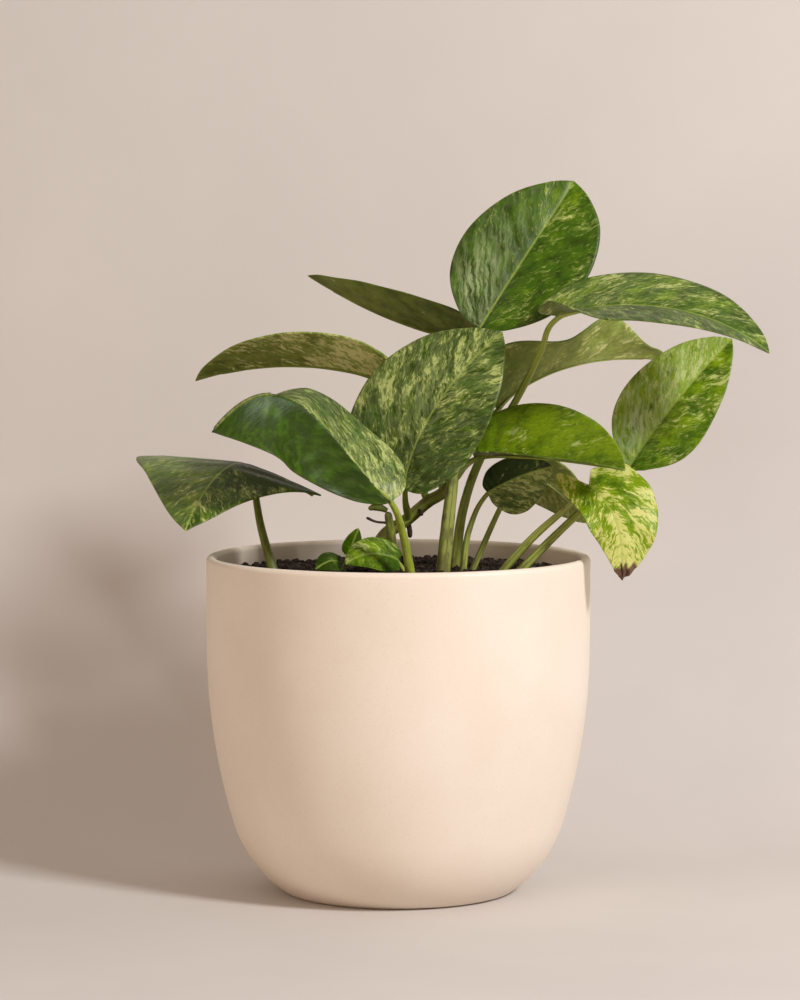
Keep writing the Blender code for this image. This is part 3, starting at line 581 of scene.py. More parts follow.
def makeBlade(name, leaf, index):
    random = np.random.default_rng(40 + index)
    along = np.linspace(0.0, 1.0, blade["rows"])[1:-1]
    reach = np.linspace(0.0, 1.0, blade["columns"]) ** blade["ribCrowding"]
    alongGrid, reachGrid = np.meshgrid(along, reach, indexing="ij")
    leftPlace, leftShare, leftOut = halfBlade(leaf, "left", -1.0, alongGrid, reachGrid)
    rightPlace, rightShare, rightOut = halfBlade(leaf, "right", 1.0, alongGrid, reachGrid)
    place = np.concatenate([leftPlace[:, ::-1], rightPlace[:, 1:]], axis=1)
    share = np.concatenate([leftShare[:, ::-1], rightShare[:, 1:]], axis=1)
    out = np.concatenate([-leftOut[:, ::-1], rightOut[:, 1:]], axis=1)
    side = np.concatenate([-reachGrid[:, ::-1], reachGrid[:, 1:]], axis=1)
    alongGrid = np.concatenate([alongGrid[:, ::-1], alongGrid[:, 1:]], axis=1)
    # evens out the left margin where the midrib bends hard
    pull = np.maximum(-side[1:-1, :, None], 0.0) ** blade["easeFalloff"]
    for step in range(leaf.get("ease", 0)):
        middle = (place[:-2] + place[2:]) / 2
        place[1:-1] += (middle - place[1:-1]) * pull
    normal = np.cross(np.gradient(place, axis=1), np.gradient(place, axis=0))
    normal /= np.maximum(np.linalg.norm(normal, axis=-1, keepdims=True), 1e-9)

    # relief: sunken midrib, quilting between the side veins, a slightly wavy margin
    length = midribLength(leaf["midrib"])
    size = min(1.0, length / blade["fullRelief"])
    distance = np.abs(side)
    ends = np.sin(np.pi * np.clip(alongGrid, 0.0, 1.0)) ** 0.5
    veinTurn = 2 * np.pi * (blade["veins"] * alongGrid + blade["quiltShift"] * np.sign(side))
    quilting = np.cos(veinTurn + blade["quiltWander"] * unevenWave(random, alongGrid, 2.0))
    relief = blade["quilt"] * size * quilting * np.sin(np.pi * distance ** 0.8) * ends
    groove = blade["groove"] * size * np.exp(-(out / blade["grooveWidth"]) ** 2)
    relief -= groove * (1 - alongGrid) ** blade["grooveFade"]
    waveDepth, waves = leaf.get("waves", (0.0, 2.0))
    for half in (-1, 1):
        wavy = unevenWave(random, alongGrid, waves)
        depth = blade["marginWave"] * size + waveDepth
        relief += np.where(side * half > 0, depth * wavy * distance ** 3 * ends, 0.0)
    # the dry tip has a ragged edge and crumples
    fringe = blade["dryFringe"] * np.sin(9 * side + 40 * alongGrid)
    dryness = np.clip((share + fringe - leaf.get("dry", 2.0)) / blade["dryBlend"], 0.0, 1.0)
    relief += dryness * blade["crumple"] * np.sin(70 * alongGrid + 5 * side)
    place = place + normal * relief[..., None]

    # the third marking is the painted sheen, a painted highlight
    marks = np.where((side < 0)[..., None], np.asarray(leaf["leftMarks"]), np.asarray(leaf["rightMarks"]))
    for a, s, reachAlong, reachAcross, cream, lime, paintedSheen in leaf.get("patches", ()):
        near = np.exp(-((alongGrid - a) / reachAlong) ** 2 - ((side - s) / reachAcross) ** 2)
        marks = marks + near[..., None] * np.array((cream, lime, paintedSheen))
    age = np.stack([np.full_like(side, leaf.get("age", 0.0)), dryness, distance], axis=-1)
    # the blade laid flat and turned: the first axis runs across the side veins, the second along them, and
    # the third keeps one leaf's pattern apart from the next one's
    slant = math.radians(blade["slant"])
    forth, off = share * length, np.abs(out)
    across = off * math.cos(slant) - forth * math.sin(slant)
    onward = forth * math.cos(slant) + off * math.sin(slant)
    vein = np.stack([across, onward, out + blade["apart"] * index], axis=-1) * mm

    rows, columns = side.shape
    basePlace, tipPlace = midribAt(leaf["midrib"], np.array([0.0, 1.0]))[0]
    vertices = np.concatenate([[basePlace], place.reshape(-1, 3), [tipPlace]]) * mm
    faces = [(0, c + 2, c + 1) for c in range(columns - 1)]
    for row in range(rows - 1):
        first = 1 + row * columns
        faces += [(c, c + 1, c + 1 + columns, c + columns) for c in range(first, first + columns - 1)]
    last, tip = 1 + (rows - 1) * columns, len(vertices) - 1
    faces += [(last + c, last + c + 1, tip) for c in range(columns - 1)]
    mesh = bpy.data.meshes.new(name)
    mesh.from_pydata(vertices.tolist(), [], faces)
    for attributeName, values in (("vein", vein), ("markingsAndPaintedLight", marks), ("ageing", age)):
        values = values.reshape(-1, 3)
        values = np.concatenate([values[:1], values, values[-1:]])
        attribute = mesh.attributes.new(attributeName, "FLOAT_VECTOR", "POINT")
        attribute.data.foreach_set("vector", values.ravel())
    fromRib = (np.concatenate([[0.0], np.abs(out).ravel(), [0.0]]) + leaf.get("hiddenRib", 0.0)) * mm
    mesh.attributes.new("fromRib", "FLOAT", "POINT").data.foreach_set("value", fromRib)
    mesh.polygons.foreach_set("use_smooth", [True] * len(mesh.polygons))
    host = addObject(name, mesh)
    mesh.materials.append(livingLeaf)
    mesh.materials.append(leafUnderside)
    thickness = host.modifiers.new("thickness", "SOLIDIFY")
    thickness.thickness = blade["thickness"] * mm
    thickness.offset = -1.0
    thickness.material_offset = 1
    made = bpy.data.meshes.new_from_object(host.evaluated_get(bpy.context.evaluated_depsgraph_get()))
    bpy.data.objects.remove(host)
    made.name = name
    finishPiece(addObject(name, made), nodeName(name))


# A living pothos leaf: green cells under a waxy cuticle, marbled cream where cells have no chlorophyll. The
# marbling runs in streaks along the side veins, and the wax gives a broad soft gloss.
# The silvery swatch is painted sheen: a painted highlight, pale streaks standing in for the light's gloss.
leafColours = {
    "livingLeaf": dict(
        deep="#1B2A02", dark="#2A3F02", green="#3E5E06", lime="#7C9A10", pale="#75843C", cream="#B0BA6E",
        yellow="#D6D37C", rib="#9BAE50", paintedSheen="#A4B27E", dry="#6A5040", ribStrength=0.5, roughness=0.36,
        spread=0.10, relief=0.00022, gloss=0.22),
    # The underside's colours are lighter than its own: painted light, standing in for light shining through
    # the blade.
    "leafUnderside": dict(
        deep="#3E4412", dark="#586422", green="#7A8638", lime="#9FAD54", pale="#868B49", cream="#DAD892",
        yellow="#CDC97A", rib="#94A05A", paintedSheen="#A2AC7C", dry="#6A5040", ribStrength=0.3, roughness=0.55,
        spread=0.08, relief=0.00016, gloss=0.22)}


def makeLeafMaterial(name):
    colours = leafColours[name]
    material, tree, shader = newMaterial(name, ior=1.45)

    vein = addNode(tree, "ShaderNodeAttribute", attribute_name="vein")["Vector"]
    marks = addNode(tree, "ShaderNodeAttribute", attribute_name="markingsAndPaintedLight")["Vector"]
    ageing = addNode(tree, "ShaderNodeAttribute", attribute_name="ageing")["Vector"]
    marks = addNode(tree, "ShaderNodeSeparateXYZ", {0: marks})
    ageing = addNode(tree, "ShaderNodeSeparateXYZ", {0: ageing})
    fromRib = addNode(tree, "ShaderNodeAttribute", attribute_name="fromRib")["Fac"]

    # streaks wander by up to 1.5 mm either way, over about 6 mm
    wander = addNode(tree, "ShaderNodeTexNoise", {
        "Vector": vein, "Scale": 1 / (6.0 * mm), "Detail": 3.0})["Color"]
    wander = addNode(tree, "ShaderNodeVectorMath", {0: wander, 1: (0.5, 0.5, 0.5)}, operation="SUBTRACT")[0]
    wander = addNode(tree, "ShaderNodeVectorMath", {0: wander, 1: (4.0 * mm, 4.0 * mm, 0.0), 2: vein},
                     operation="MULTIPLY_ADD")[0]

    # Width, length along the side veins, and detail: broad patches, streaks, flecks of a few cells, the slow
    # change of green, and the long streaks of the painted sheen, a painted highlight of the light's gloss.
    patterns = dict(
        patch=(7.0, 13.0, 3.0), streak=(1.4, 5.5, 4.0), fleck=(0.5, 1.8, 3.0), shade=(6.0, 9.0, 2.0),
        paintedSheenStreaks=(1.3, 9.0, 3.0))
    noise = {}
    for pattern, (wide, long, detail) in patterns.items():
        scaled = addNode(tree, "ShaderNodeVectorMath", {
            0: wander, 1: (1 / (wide * mm), 1 / (long * mm), 70.0)}, operation="MULTIPLY")[0]
        noise[pattern] = addNode(tree, "ShaderNodeTexNoise", {
            "Vector": scaled, "Scale": 1.0, "Detail": detail, "Roughness": 0.62})["Fac"]
    weights = dict(
        cream=(marks[0], dict(patch=1.7, streak=2.1, fleck=1.4)),
        lime=(marks[1], dict(shade=1.4)))
    levels = {}
    for mark, (level, shares) in weights.items():
        for pattern, weight in shares.items():
            centred = addNode(tree, "ShaderNodeMath", {0: noise[pattern], 1: 0.5}, operation="SUBTRACT")[0]
            level = addNode(tree, "ShaderNodeMath", {0: centred, 1: weight, 2: level},
                            operation="MULTIPLY_ADD")[0]
        levels[mark] = level

    # Colours laid over each other, from the ground up: the colour made, the one below, what drives the
    # layer, where it starts and is full, how strong it gets, and the colour above. The first two only
    # prepare a colour for the layers after them.
    swatches = {name: toLinear(value) for name, value in colours.items() if str(value).startswith("#")}
    layers = [
        ("palest", "pale", levels["lime"], 0.2, 0.9, 1.0, "lime"),
        ("creamy", "cream", ageing[0], 0.0, 1.0, 1.0, "yellow"),
        ("skin", "deep", levels["lime"], -0.45, 0.0, 1.0, "dark"),
        ("skin", "skin", levels["lime"], 0.0, 0.4, 1.0, "green"),
        ("skin", "skin", levels["lime"], 0.35, 1.0, 1.0, "lime"),
        ("skin", "skin", noise["fleck"], 0.58, 0.36, 0.35, "dark"),
        ("skin", "skin", levels["cream"], -0.16, 0.26, 0.75, "palest"),
        ("skin", "skin", levels["cream"], 0.20, 0.50, 0.92, "creamy"),
        # painted sheen: pale streaks painted as a highlight, as strong as the half's third marking
        ("skin", "skin", noise["paintedSheenStreaks"], 0.32, 0.72, marks[2], "paintedSheen"),
        ("skin", "skin", fromRib, 0.0006, 0.0002, colours["ribStrength"], "rib"),
        ("skin", "skin", ageing[2], 0.975, 0.995, 0.15, "rib"),
        ("skin", "skin", ageing[1], 0.0, 1.0, 1.0, "dry")]
    for made, below, driver, start, full, strength, above in layers:
        share = addNode(tree, "ShaderNodeMapRange", {0: driver, 1: start, 2: full, 4: strength},
                        interpolation_type="SMOOTHSTEP")[0]
        swatches[made] = addNode(tree, "ShaderNodeMix", {0: share, 6: swatches[below], 7: swatches[above]},
                                 data_type="RGBA")[2]

    # the wax is a little rougher where cells lack green, and gone where the blade has dried
    rough = addNode(tree, "ShaderNodeMath", {
        0: noise["streak"], 1: colours["spread"], 2: colours["roughness"] - colours["spread"] / 2},
                    operation="MULTIPLY_ADD")[0]
    rough = addNode(tree, "ShaderNodeMath", {0: ageing[1], 1: 0.3, 2: rough}, operation="MULTIPLY_ADD")[0]
    fine = addNode(tree, "ShaderNodeMath", {0: noise["fleck"], 1: 0.5}, operation="MULTIPLY")[0]
    height = addNode(tree, "ShaderNodeMath", {0: noise["streak"], 1: 0.8, 2: fine},
                     operation="MULTIPLY_ADD")[0]
    bump = addNode(tree, "ShaderNodeBump", {
        "Strength": 0.6, "Distance": colours["relief"], "Height": height})[0]
    linkTo(tree, shader, Base_Color=swatches["skin"], Roughness=rough, Normal=bump)
    shader.inputs["Specular IOR Level"].default_value = colours["gloss"]
    return material


livingLeaf = makeLeafMaterial("livingLeaf")
leafUnderside = makeLeafMaterial("leafUnderside")
for leafIndex, (leafName, leafSize) in enumerate(leaves.items()):
    makeBlade(leafName, leafSize, leafIndex)
print("leaves made:", len(leaves))

# Radius and place of each point, from the soil up.
vines = {
    "vineDiagonal": [(2.7, (-10, 14, 129)), (2.7, (-7, 12, 141)), (2.6, (4, 9, 150)),
                     (2.5, (12, 7, 157)), (2.4, (19, 6, 162)), (2.3, (21, 7, 170))],
    "vineUpright": [(3.0, (18, -6, 129)), (2.7, (20, -5, 150)), (2.2, (22, -4, 167))],
    "vinePale": [(2.0, (-1, 1, 129)), (1.8, (-2.5, 1, 142)), (1.6, (-4, 0, 152))]}
rootlets = {
    "aerialRoot": [(0.5, (-6.4, 0.4, 149.2)), (0.5, (-9.4, 0.0, 149.6)), (0.6, (-12.4, -0.4, 151.0))],
    "leafBud": [(1.0, (-6.0, -0.3, 154.6)), (1.6, (-7.6, -0.5, 155.3)), (1.6, (-9.6, -0.7, 155.5)),
                (1.0, (-11.2, -0.9, 155.0))],
    "rootNubUpper": [(1.0, (8.9, 4.9, 153.0)), (0.8, (9.4, 3.2, 152.3))],
    "rootNubLower": [(1.1, (4.4, 9.0, 146.0)), (1.2, (4.6, 7.8, 144.6)), (1.0, (4.7, 7.4, 143.2))]}

# Each petiole: radius at its root, where it grows from (a place, or a vine and its point), the points on
# its way to the leaf, and how bright it is.
petioles = {
    "Top": (2.0, ("vineDiagonal", 5), [(24, 15, 198)], 0.5),
    "UpperRight": (2.1, (23, 13, 129), [(27, 14, 156), (35, 16, 177), (47, 17, 196), (57, 3, 217)], 0.55),
    "Behind": (1.6, ("vineDiagonal", 4), [(24, 17, 170), (33, 26, 183)], 0.4),
    "Centre": (1.9, ("vineDiagonal", 2), [], 0.5),
    "Left": (2.1, (5, -21, 129), [(2, -25, 146)], 0.8),
    "LowLeft": (2.1, (-50, -5, 129), [(-55, 0, 146)], 0.35),
    "LeftUpper": (1.6, ("vineDiagonal", 3), [(6, 16, 172)], 0.4),
    "UpperLeftBack": (1.6, ("vineDiagonal", 4), [(12, 20, 171), (19, 38, 198)], 0.3),
    "RightCentre": (1.9, ("vineUpright", 2), [], 0.7),
    "SmallFolded": (1.5, (26, 1, 129), [(29, 3, 147)], 0.45),
    "BackRight": (1.3, (30, 7, 129), [(41, 13, 153)], 0.45),
    "Yellow": (1.8, (41, -6, 129), [(54, -10, 144), (68, -15, 157)], 0.45),
    "Right": (1.9, (47, -13, 129), [(63, -11, 145), (80, -5, 160)], 0.35),
    "SoilRound": (1.1, (3, -7, 129), [], 0.7),
    "SoilLeft": (0.9, (-21, -8, 129), [], 0.5),
    "SoilRolled": (1.0, (-22, 0, 129), [], 0.5)}
stemSizes = dict(
    sides=18, ring=0.5, channel=0.30, knobs=0.10, bladeGap=0.3, cadBlade=0.7, rootletDepth=1.6,
    rootDepth=14.0, sunkInVine=0.4)
# The rib along a blade's underside: shares of the length, radius there against the stalk's, radius kept by a
# hidden rib, how far the groove pushes it down, and how much of its radius is sunk in the blade.
rib = dict(
    shares=(0.10, 0.28, 0.48, 0.68, 0.86), radii=(0.72, 0.56, 0.42, 0.30, 0.16), hidden=0.4, pushed=0.6,
    sunk=0.35)
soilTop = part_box("potting_soil")[1].z / mm


# Sweeps a round section with a channel down one side along a curve that carries its own radius.
def makeStemTree():
    tree, given = newTree("grownStem", [
        ("Sides", "Int", 16), ("Ring spacing", "Float", 0.001), ("Channel", "Float", 0.3),
        ("Knobs", "Float", 0.1), ("Brightness", "Float", 0.5), ("Seed", "Float", 0.0),
        ("Material", "Material", None)])
    path = addNode(tree, "GeometryNodeResampleCurve", {
        0: given["Geometry"], "Length": given["Ring spacing"]}, mode="LENGTH")
    run = addNode(tree, "GeometryNodeSplineParameter")["Length"]
    path = addNode(tree, "GeometryNodeStoreNamedAttribute", {0: path[0], "Name": "run", "Value": run},
                   data_type="FLOAT", domain="POINT")[0]
    place = addNode(tree, "GeometryNodeInputPosition")[0]
    section = addNode(tree, "GeometryNodeCurvePrimitiveCircle", {0: given["Sides"], "Radius": mm})[0]
    facing = addNode(tree, "ShaderNodeSeparateXYZ", {0: place})[0]
    facing = addNode(tree, "ShaderNodeMath", {0: facing, 1: mm}, operation="DIVIDE")[0]
    facing = addNode(tree, "ShaderNodeMath", {0: facing, 1: 0.0}, operation="MAXIMUM")[0]
    facing = addNode(tree, "ShaderNodeMath", {0: facing, 1: 7.0}, operation="POWER")[0]
    dip = addNode(tree, "ShaderNodeMath", {0: facing, 1: given["Channel"]}, operation="MULTIPLY")[0]
    share = addNode(tree, "ShaderNodeMath", {0: 1.0, 1: dip}, operation="SUBTRACT")[0]
    shaped = addNode(tree, "ShaderNodeVectorMath", {0: place, "Scale": share}, operation="SCALE")[0]
    section = addNode(tree, "GeometryNodeSetPosition", {0: section, "Position": shaped})[0]
    around = addNode(tree, "GeometryNodeSplineParameter")["Factor"]
    section = addNode(tree, "GeometryNodeStoreNamedAttribute", {
        0: section, "Name": "around", "Value": around}, data_type="FLOAT", domain="POINT")[0]
    # knobs about 6 mm apart
    noise = addNode(tree, "ShaderNodeTexNoise", {
        "Vector": place, "W": given["Seed"], "Scale": 160.0, "Detail": 1.0}, noise_dimensions="4D")["Fac"]
    noise = addNode(tree, "ShaderNodeMath", {0: noise, 1: 0.5}, operation="SUBTRACT")[0]
    swell = addNode(tree, "ShaderNodeMath", {0: noise, 1: given["Knobs"], 2: 1.0},
                    operation="MULTIPLY_ADD")[0]
    radius = addNode(tree, "GeometryNodeInputRadius")[0]
    scale = addNode(tree, "ShaderNodeMath", {0: radius, 1: swell}, operation="MULTIPLY")[0]
    swept = addNode(tree, "GeometryNodeCurveToMesh", {
        0: path, 1: section, "Scale": scale, "Fill Caps": True})[0]
    swept = addNode(tree, "GeometryNodeStoreNamedAttribute", {
        0: swept, "Name": "brightness", "Value": given["Brightness"]}, data_type="FLOAT", domain="POINT")[0]
    smooth = addNode(tree, "GeometryNodeSetShadeSmooth", {0: swept})[0]
    endTree(tree, smooth, given["Material"])
    return tree


# Smooth petiole and vine skin: fibres run along it, the channel's edges are paler, and it dries brown in
# streaks, more of them near the soil.
stemColours = {
    "petioleSkin": dict(
        dark="#4C5A1A", bright="#A3B23E", edge="#B4BE62", brown="#5A4426", browning=0.62, roughness=0.42),
    "vineSkin": dict(
        dark="#465416", bright="#97A23C", edge="#A9AE5C", brown="#4A3620", browning=0.52, roughness=0.50),
    "dryRoot": dict(
        dark="#2E2219", bright="#4B3A2A", edge="#5D4A36", brown="#1E1610", browning=0.5, roughness=0.8)}


def makeStemMaterial(name):
    colours = stemColours[name]
    material, tree, shader = newMaterial(name)
    place = addNode(tree, "ShaderNodeTexCoord")["Object"]
    run = addNode(tree, "ShaderNodeAttribute", attribute_name="run")["Fac"]
    around = addNode(tree, "ShaderNodeAttribute", attribute_name="around")["Fac"]
    brightness = addNode(tree, "ShaderNodeAttribute", attribute_name="brightness")["Fac"]
    turn = addNode(tree, "ShaderNodeMath", {0: around, 1: 2 * math.pi}, operation="MULTIPLY")[0]
    cosine = addNode(tree, "ShaderNodeMath", {0: turn}, operation="COSINE")[0]
    sine = addNode(tree, "ShaderNodeMath", {0: turn}, operation="SINE")[0]
    # fibres about 0.5 mm wide and 12 mm long, on a section 2 mm in radius
    length = addNode(tree, "ShaderNodeMath", {0: run, 1: 1 / (6.0 * mm)}, operation="MULTIPLY")[0]
    skin = addNode(tree, "ShaderNodeCombineXYZ", {0: cosine, 1: sine, 2: length})[0]
    fibre = addNode(tree, "ShaderNodeTexNoise", {
        "Vector": skin, "Scale": 2.0, "Detail": 4.0, "Roughness": 0.65})["Fac"]
    blotch = addNode(tree, "ShaderNodeTexNoise", {"Vector": skin, "Scale": 0.9, "Detail": 4.0})["Fac"]
    level = addNode(tree, "ShaderNodeMath", {0: fibre, 1: 1.2, 2: brightness}, operation="MULTIPLY_ADD")[0]
    level = addNode(tree, "ShaderNodeMapRange", {0: level, 1: 0.6, 2: 1.6})[0]
    base = addNode(tree, "ShaderNodeMix", {
        0: level, 6: toLinear(colours["dark"]), 7: toLinear(colours["bright"])}, data_type="RGBA")[2]
    ridge = addNode(tree, "ShaderNodeMapRange", {0: cosine, 1: 0.55, 2: 0.8, 3: 0.0, 4: 0.5})[0]
    base = addNode(tree, "ShaderNodeMix", {0: ridge, 6: base, 7: toLinear(colours["edge"])},
                   data_type="RGBA")[2]
    height = addNode(tree, "ShaderNodeSeparateXYZ", {0: place})[2]
    nearSoil = addNode(tree, "ShaderNodeMapRange", {0: height, 1: 0.150, 2: 0.129, 3: 0.0, 4: 0.16})[0]
    dried = addNode(tree, "ShaderNodeMath", {0: blotch, 1: nearSoil}, operation="ADD")[0]
    brownShare = addNode(tree, "ShaderNodeMapRange", {
        0: dried, 1: colours["browning"], 2: colours["browning"] + 0.1, 4: 0.6})
    base = addNode(tree, "ShaderNodeMix", {0: brownShare[0], 6: base, 7: toLinear(colours["brown"])},
                   data_type="RGBA")[2]
    rough = addNode(tree, "ShaderNodeMapRange", {0: fibre, 1: 0.3, 2: 0.7, 3: colours["roughness"] - 0.06,
                                                 4: colours["roughness"] + 0.08})[0]
    bump = addNode(tree, "ShaderNodeBump", {"Strength": 0.5, "Distance": 0.0002, "Height": fibre})[0]
    linkTo(tree, shader, Base_Color=base, Roughness=rough, Normal=bump)
    return material


grownStem = makeStemTree()
stemMaterials = {name: makeStemMaterial(name) for name in stemColours}


# Points here are (radius, place), as in the vines.
def stemCurve(name, points):
    curve = bpy.data.curves.new(name, "CURVE")
    curve.dimensions = "3D"
    curve.resolution_u = 16
    spline = curve.splines.new("BEZIER")
    spline.bezier_points.add(len(points) - 1)
    for knot, (radius, place) in zip(spline.bezier_points, points):
        knot.co = Vector(place) * mm
        knot.radius = radius
        knot.handle_left_type = "AUTO"
        knot.handle_right_type = "AUTO"
    return addObject(name + "Path", curve)


def makeStem(name, skin, points, brightness, seed):
    (radius, first), (_, second) = points[:2]
    if first[2] <= soilTop:
        direction = (Vector(second) - Vector(first)).normalized()
        points = [(radius, Vector(first) - direction * stemSizes["rootDepth"])] + points
    stem = runTree(stemCurve(name, points), grownStem, name, **{
        "Sides": stemSizes["sides"], "Ring spacing": stemSizes["ring"] * mm,
        "Channel": stemSizes["channel"], "Knobs": stemSizes["knobs"], "Brightness": brightness,
        "Seed": float(seed), "Material": stemMaterials[skin]})
    return finishPiece(stem, nodeName(name))


# Where a petiole meets its leaf, just under the base.
def leafEnd(leaf):
    base, forward = midribAt(leaf["midrib"], np.array([0.0]))
    up = upAt(leaf, np.array([0.0]), forward)
    gap = leaf["stalk"] + stemSizes["cadBlade"] / 2 + stemSizes["bladeGap"]
    return base[0] - up[0] * gap - forward[0] * stemSizes["bladeGap"]


def ribPoints(leaf):
    shares = np.array(rib["shares"])
    radii = leaf["stalk"] * np.array(rib["radii"]) * (rib["hidden"] if "hiddenRib" in leaf else 1.0)
    place, forward = midribAt(leaf["midrib"], shares)
    up = upAt(leaf, shares, forward)
    groove = blade["groove"] * (1 - shares) ** blade["grooveFade"]
    depth = blade["thickness"] + groove * rib["pushed"] + radii * rib["sunk"]
    return [(radius, tuple(point)) for radius, point in zip(radii, place - up * depth[:, None])]


# A stem that ends in the open closes in a round tip.
def roundedEnd(stem):
    (_, before), (radius, last) = stem[-2:]
    heading = (Vector(last) - Vector(before)).normalized()
    angles = (0.5, 1.0, 1.5)
    return stem + [(radius * math.cos(a), Vector(last) + heading * radius * math.sin(a)) for a in angles]


def stemStart(origin, target):
    if not isinstance(origin[0], str):
        return Vector(origin)
    vine, index = origin
    radius, place = vines[vine][index]
    heading = (Vector(target) - Vector(place)).normalized()
    return Vector(place) + heading * (radius * stemSizes["sunkInVine"])


for stemIndex, (stemName, (stemRadius, origin, ways, brightness)) in enumerate(petioles.items()):
    leaf = leaves["leaf" + stemName]
    ways = [Vector(point) for point in ways] + [Vector(leafEnd(leaf))]
    path = [stemStart(origin, ways[0])] + ways
    taper = (leaf["stalk"] - stemRadius) / (len(path) - 1)
    radii = [stemRadius + taper * step for step in range(len(path))]
    points = list(zip(radii, path)) + ribPoints(leaf)
    makeStem("petiole" + stemName, "petioleSkin", points, brightness, stemIndex)
for stemIndex, (stemName, points) in enumerate(vines.items()):
    makeStem(stemName, "vineSkin", roundedEnd(points), 0.5, 20 + stemIndex)
for stemIndex, (stemName, points) in enumerate(rootlets.items()):
    slot, skin = ("vine", "vineSkin") if stemName == "leafBud" else ("root", "dryRoot")
    (radius, first), (_, second) = points[:2]
    inward = (Vector(first) - Vector(second)).normalized() * stemSizes["rootletDepth"]
    points = roundedEnd([(radius, Vector(first) + inward)] + points[1:])
    makeStem(stemName, skin, points, 0.3, 30 + stemIndex)
print("stems made:", len(petioles) + len(vines) + len(rootlets))

# Crumbs and perlite are counted per square metre.
soil = dict(
    mound=1.4, edgeDrop=1.2, rings=70, sides=150, wallGap=0.5, bottom=100.0, cornerRound=4.0,
    straightSide=8.0, unevenness=1.6, lump=9.0, crumbs=300000.0, crumbSmall=0.4, crumbLarge=2.6,
    perlite=2400.0, perliteSmall=0.35, perliteLarge=1.7, crumbRoughness=0.9)


# Scatters crumbs and white grains over the upper face of the soil.
def makeCrumbTree():
    tree, given = newTree("scatteredCrumbs", [
        ("Crumbs per square metre", "Float", 1000.0), ("Smallest crumb", "Float", 0.001),
        ("Largest crumb", "Float", 0.002), ("Grains per square metre", "Float", 10.0),
        ("Smallest grain", "Float", 0.001), ("Largest grain", "Float", 0.002),
        ("Seed", "Int", 1), ("Crumb material", "Material", None), ("Grain material", "Material", None),
        ("Soil material", "Material", None)])
    normal = addNode(tree, "GeometryNodeInputNormal")[0]
    upness = addNode(tree, "ShaderNodeSeparateXYZ", {0: normal})[2]
    upper = addNode(tree, "ShaderNodeMath", {0: upness, 1: 0.3}, operation="GREATER_THAN")[0]
    place = addNode(tree, "GeometryNodeInputPosition")[0]
    ground = {0: given["Geometry"], "Material": given["Soil material"]}
    layers = [addNode(tree, "GeometryNodeSetMaterial", ground)[0]]
    for part, shape, step in (("crumb", (1.0, 0.8, 0.6), 0), ("grain", (1.0, 0.9, 0.8), 7)):
        many, one = part.capitalize() + "s per square metre", part.capitalize() + " material"
        seed = addNode(tree, "ShaderNodeMath", {0: given["Seed"], 1: float(step)}, operation="ADD")[0]
        spots = addNode(tree, "GeometryNodeDistributePointsOnFaces", {
            "Mesh": given["Geometry"], "Selection": upper, "Density": given[many], "Seed": seed})
        lump = addNode(tree, "GeometryNodeMeshIcoSphere", {"Radius": 1.0, "Subdivisions": 1})[0]
        lump = addNode(tree, "GeometryNodeTransform", {0: lump, "Scale": shape})[0]
        size = addNode(tree, "FunctionNodeRandomValue", {2: 0.0, 3: 1.0, "Seed": seed})[1]
        size = addNode(tree, "ShaderNodeMath", {0: size, 1: 3.0}, operation="POWER")[0]
        size = addNode(tree, "ShaderNodeMapRange", {
            0: size, 3: given["Smallest " + part], 4: given["Largest " + part]})[0]
        spin = addNode(tree, "FunctionNodeRandomValue", {0: (0, 0, 0), 1: (6.28, 6.28, 6.28), "Seed": seed},
                       data_type="FLOAT_VECTOR")[0]
        placed = addNode(tree, "GeometryNodeInstanceOnPoints", {
            0: spots[0], "Instance": lump, "Rotation": spin, "Scale": size})[0]
        placed = addNode(tree, "GeometryNodeRealizeInstances", {0: placed})[0]
        # broken faces, about 1 mm
        rough = addNode(tree, "ShaderNodeTexNoise", {"Vector": place, "Scale": 900.0})["Color"]
        rough = addNode(tree, "ShaderNodeVectorMath", {0: rough, 1: (0.5, 0.5, 0.5)},
                        operation="SUBTRACT")[0]
        rough = addNode(tree, "ShaderNodeVectorMath", {0: rough, "Scale": soil["crumbRoughness"] * mm},
                        operation="SCALE")[0]
        placed = addNode(tree, "GeometryNodeSetPosition", {0: placed, "Offset": rough})[0]
        layers.append(addNode(tree, "GeometryNodeSetMaterial", {0: placed, "Material": given[one]})[0])
    together = tree.nodes.new("GeometryNodeJoinGeometry")
    for layer in layers:
        tree.links.new(layer, together.inputs[0])
    made = addNode(tree, "GeometryNodeRealizeInstances", {0: together.outputs[0]})[0]
    addNode(tree, "NodeGroupOutput", {0: made})
    return tree


# Peat and composted bark, damp and nearly black, in crumbs of about 1 mm; perlite is popped volcanic glass,
# white and chalky. Damp soil has a faint broken gloss.
soilColours = {
    "dampPeat": dict(low="#120B07", high="#2A1C12", roughness=0.85, spacing=1.2),
    "barkCrumb": dict(low="#160E09", high="#3A281A", roughness=0.80, spacing=2.5),
    "perliteGrain": dict(low="#B9B7B2", high="#E2E0DC", roughness=0.90, spacing=0.8)}


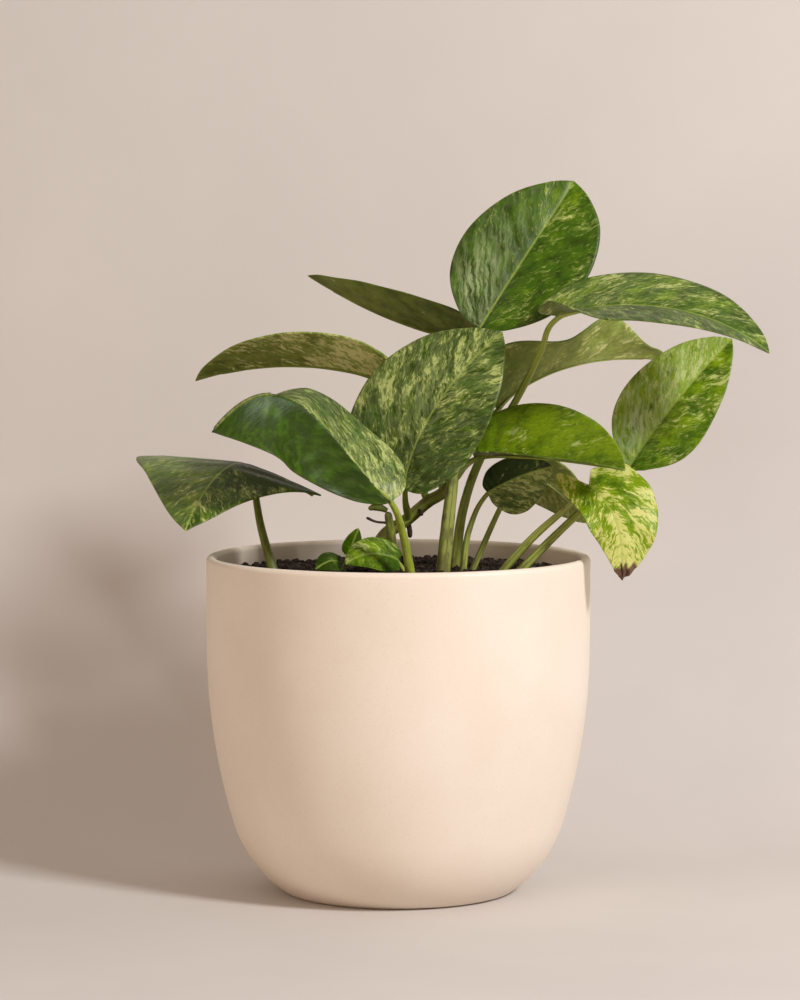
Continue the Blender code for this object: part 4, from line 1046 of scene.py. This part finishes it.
def makeSoilMaterial(name):
    colours = soilColours[name]
    material, tree, shader = newMaterial(name, ior=1.4)
    place = addNode(tree, "ShaderNodeTexCoord")["Object"]
    grain = addNode(tree, "ShaderNodeTexNoise", {
        "Vector": place, "Scale": 1 / (colours["spacing"] * mm), "Detail": 5.0, "Roughness": 0.6})["Fac"]
    share = addNode(tree, "ShaderNodeMapRange", {0: grain, 1: 0.3, 2: 0.7})[0]
    base = addNode(tree, "ShaderNodeMix", {
        0: share, 6: toLinear(colours["low"]), 7: toLinear(colours["high"])}, data_type="RGBA")[2]
    rough = addNode(tree, "ShaderNodeMapRange", {0: grain, 1: 0.3, 2: 0.7, 3: colours["roughness"] - 0.15,
                                                 4: colours["roughness"]})[0]
    bump = addNode(tree, "ShaderNodeBump", {"Strength": 0.8, "Distance": 0.0004, "Height": grain})[0]
    linkTo(tree, shader, Base_Color=base, Roughness=rough, Normal=bump)
    return material


def makeSoil():
    innerTop = rimRadius - planter["wall"] - soil["wallGap"]
    under = [(0.0, soil["bottom"]), (innerTop - soil["cornerRound"], soil["bottom"]),
             (innerTop, soil["bottom"] + soil["cornerRound"]), (innerTop, soilTop - soil["straightSide"])]
    top = []
    for step in range(soil["rings"] + 1):
        share = 1.0 - step / soil["rings"]
        top.append((innerTop * share, soilTop - soil["edgeDrop"] + soil["mound"] * (1.0 - share ** 2)))
    skins = {name: makeSoilMaterial(name) for name in soilColours}
    body = runTree(profileObject("soilProfile", under + top), turnedOnWheel, "soilBody", **{
        "Sides": soil["sides"], "Unevenness": soil["unevenness"] * mm, "Lump size": soil["lump"] * mm,
        "Material": skins["dampPeat"]})
    made = runTree(body, makeCrumbTree(), "pottingSoil", **{
        "Crumbs per square metre": soil["crumbs"], "Smallest crumb": soil["crumbSmall"] * mm,
        "Largest crumb": soil["crumbLarge"] * mm, "Grains per square metre": soil["perlite"],
        "Smallest grain": soil["perliteSmall"] * mm, "Largest grain": soil["perliteLarge"] * mm, "Seed": 5,
        "Crumb material": skins["barkCrumb"], "Grain material": skins["perliteGrain"],
        "Soil material": skins["dampPeat"]})
    finishPiece(made, "potting_soil")


makeSoil()
print("soil made")
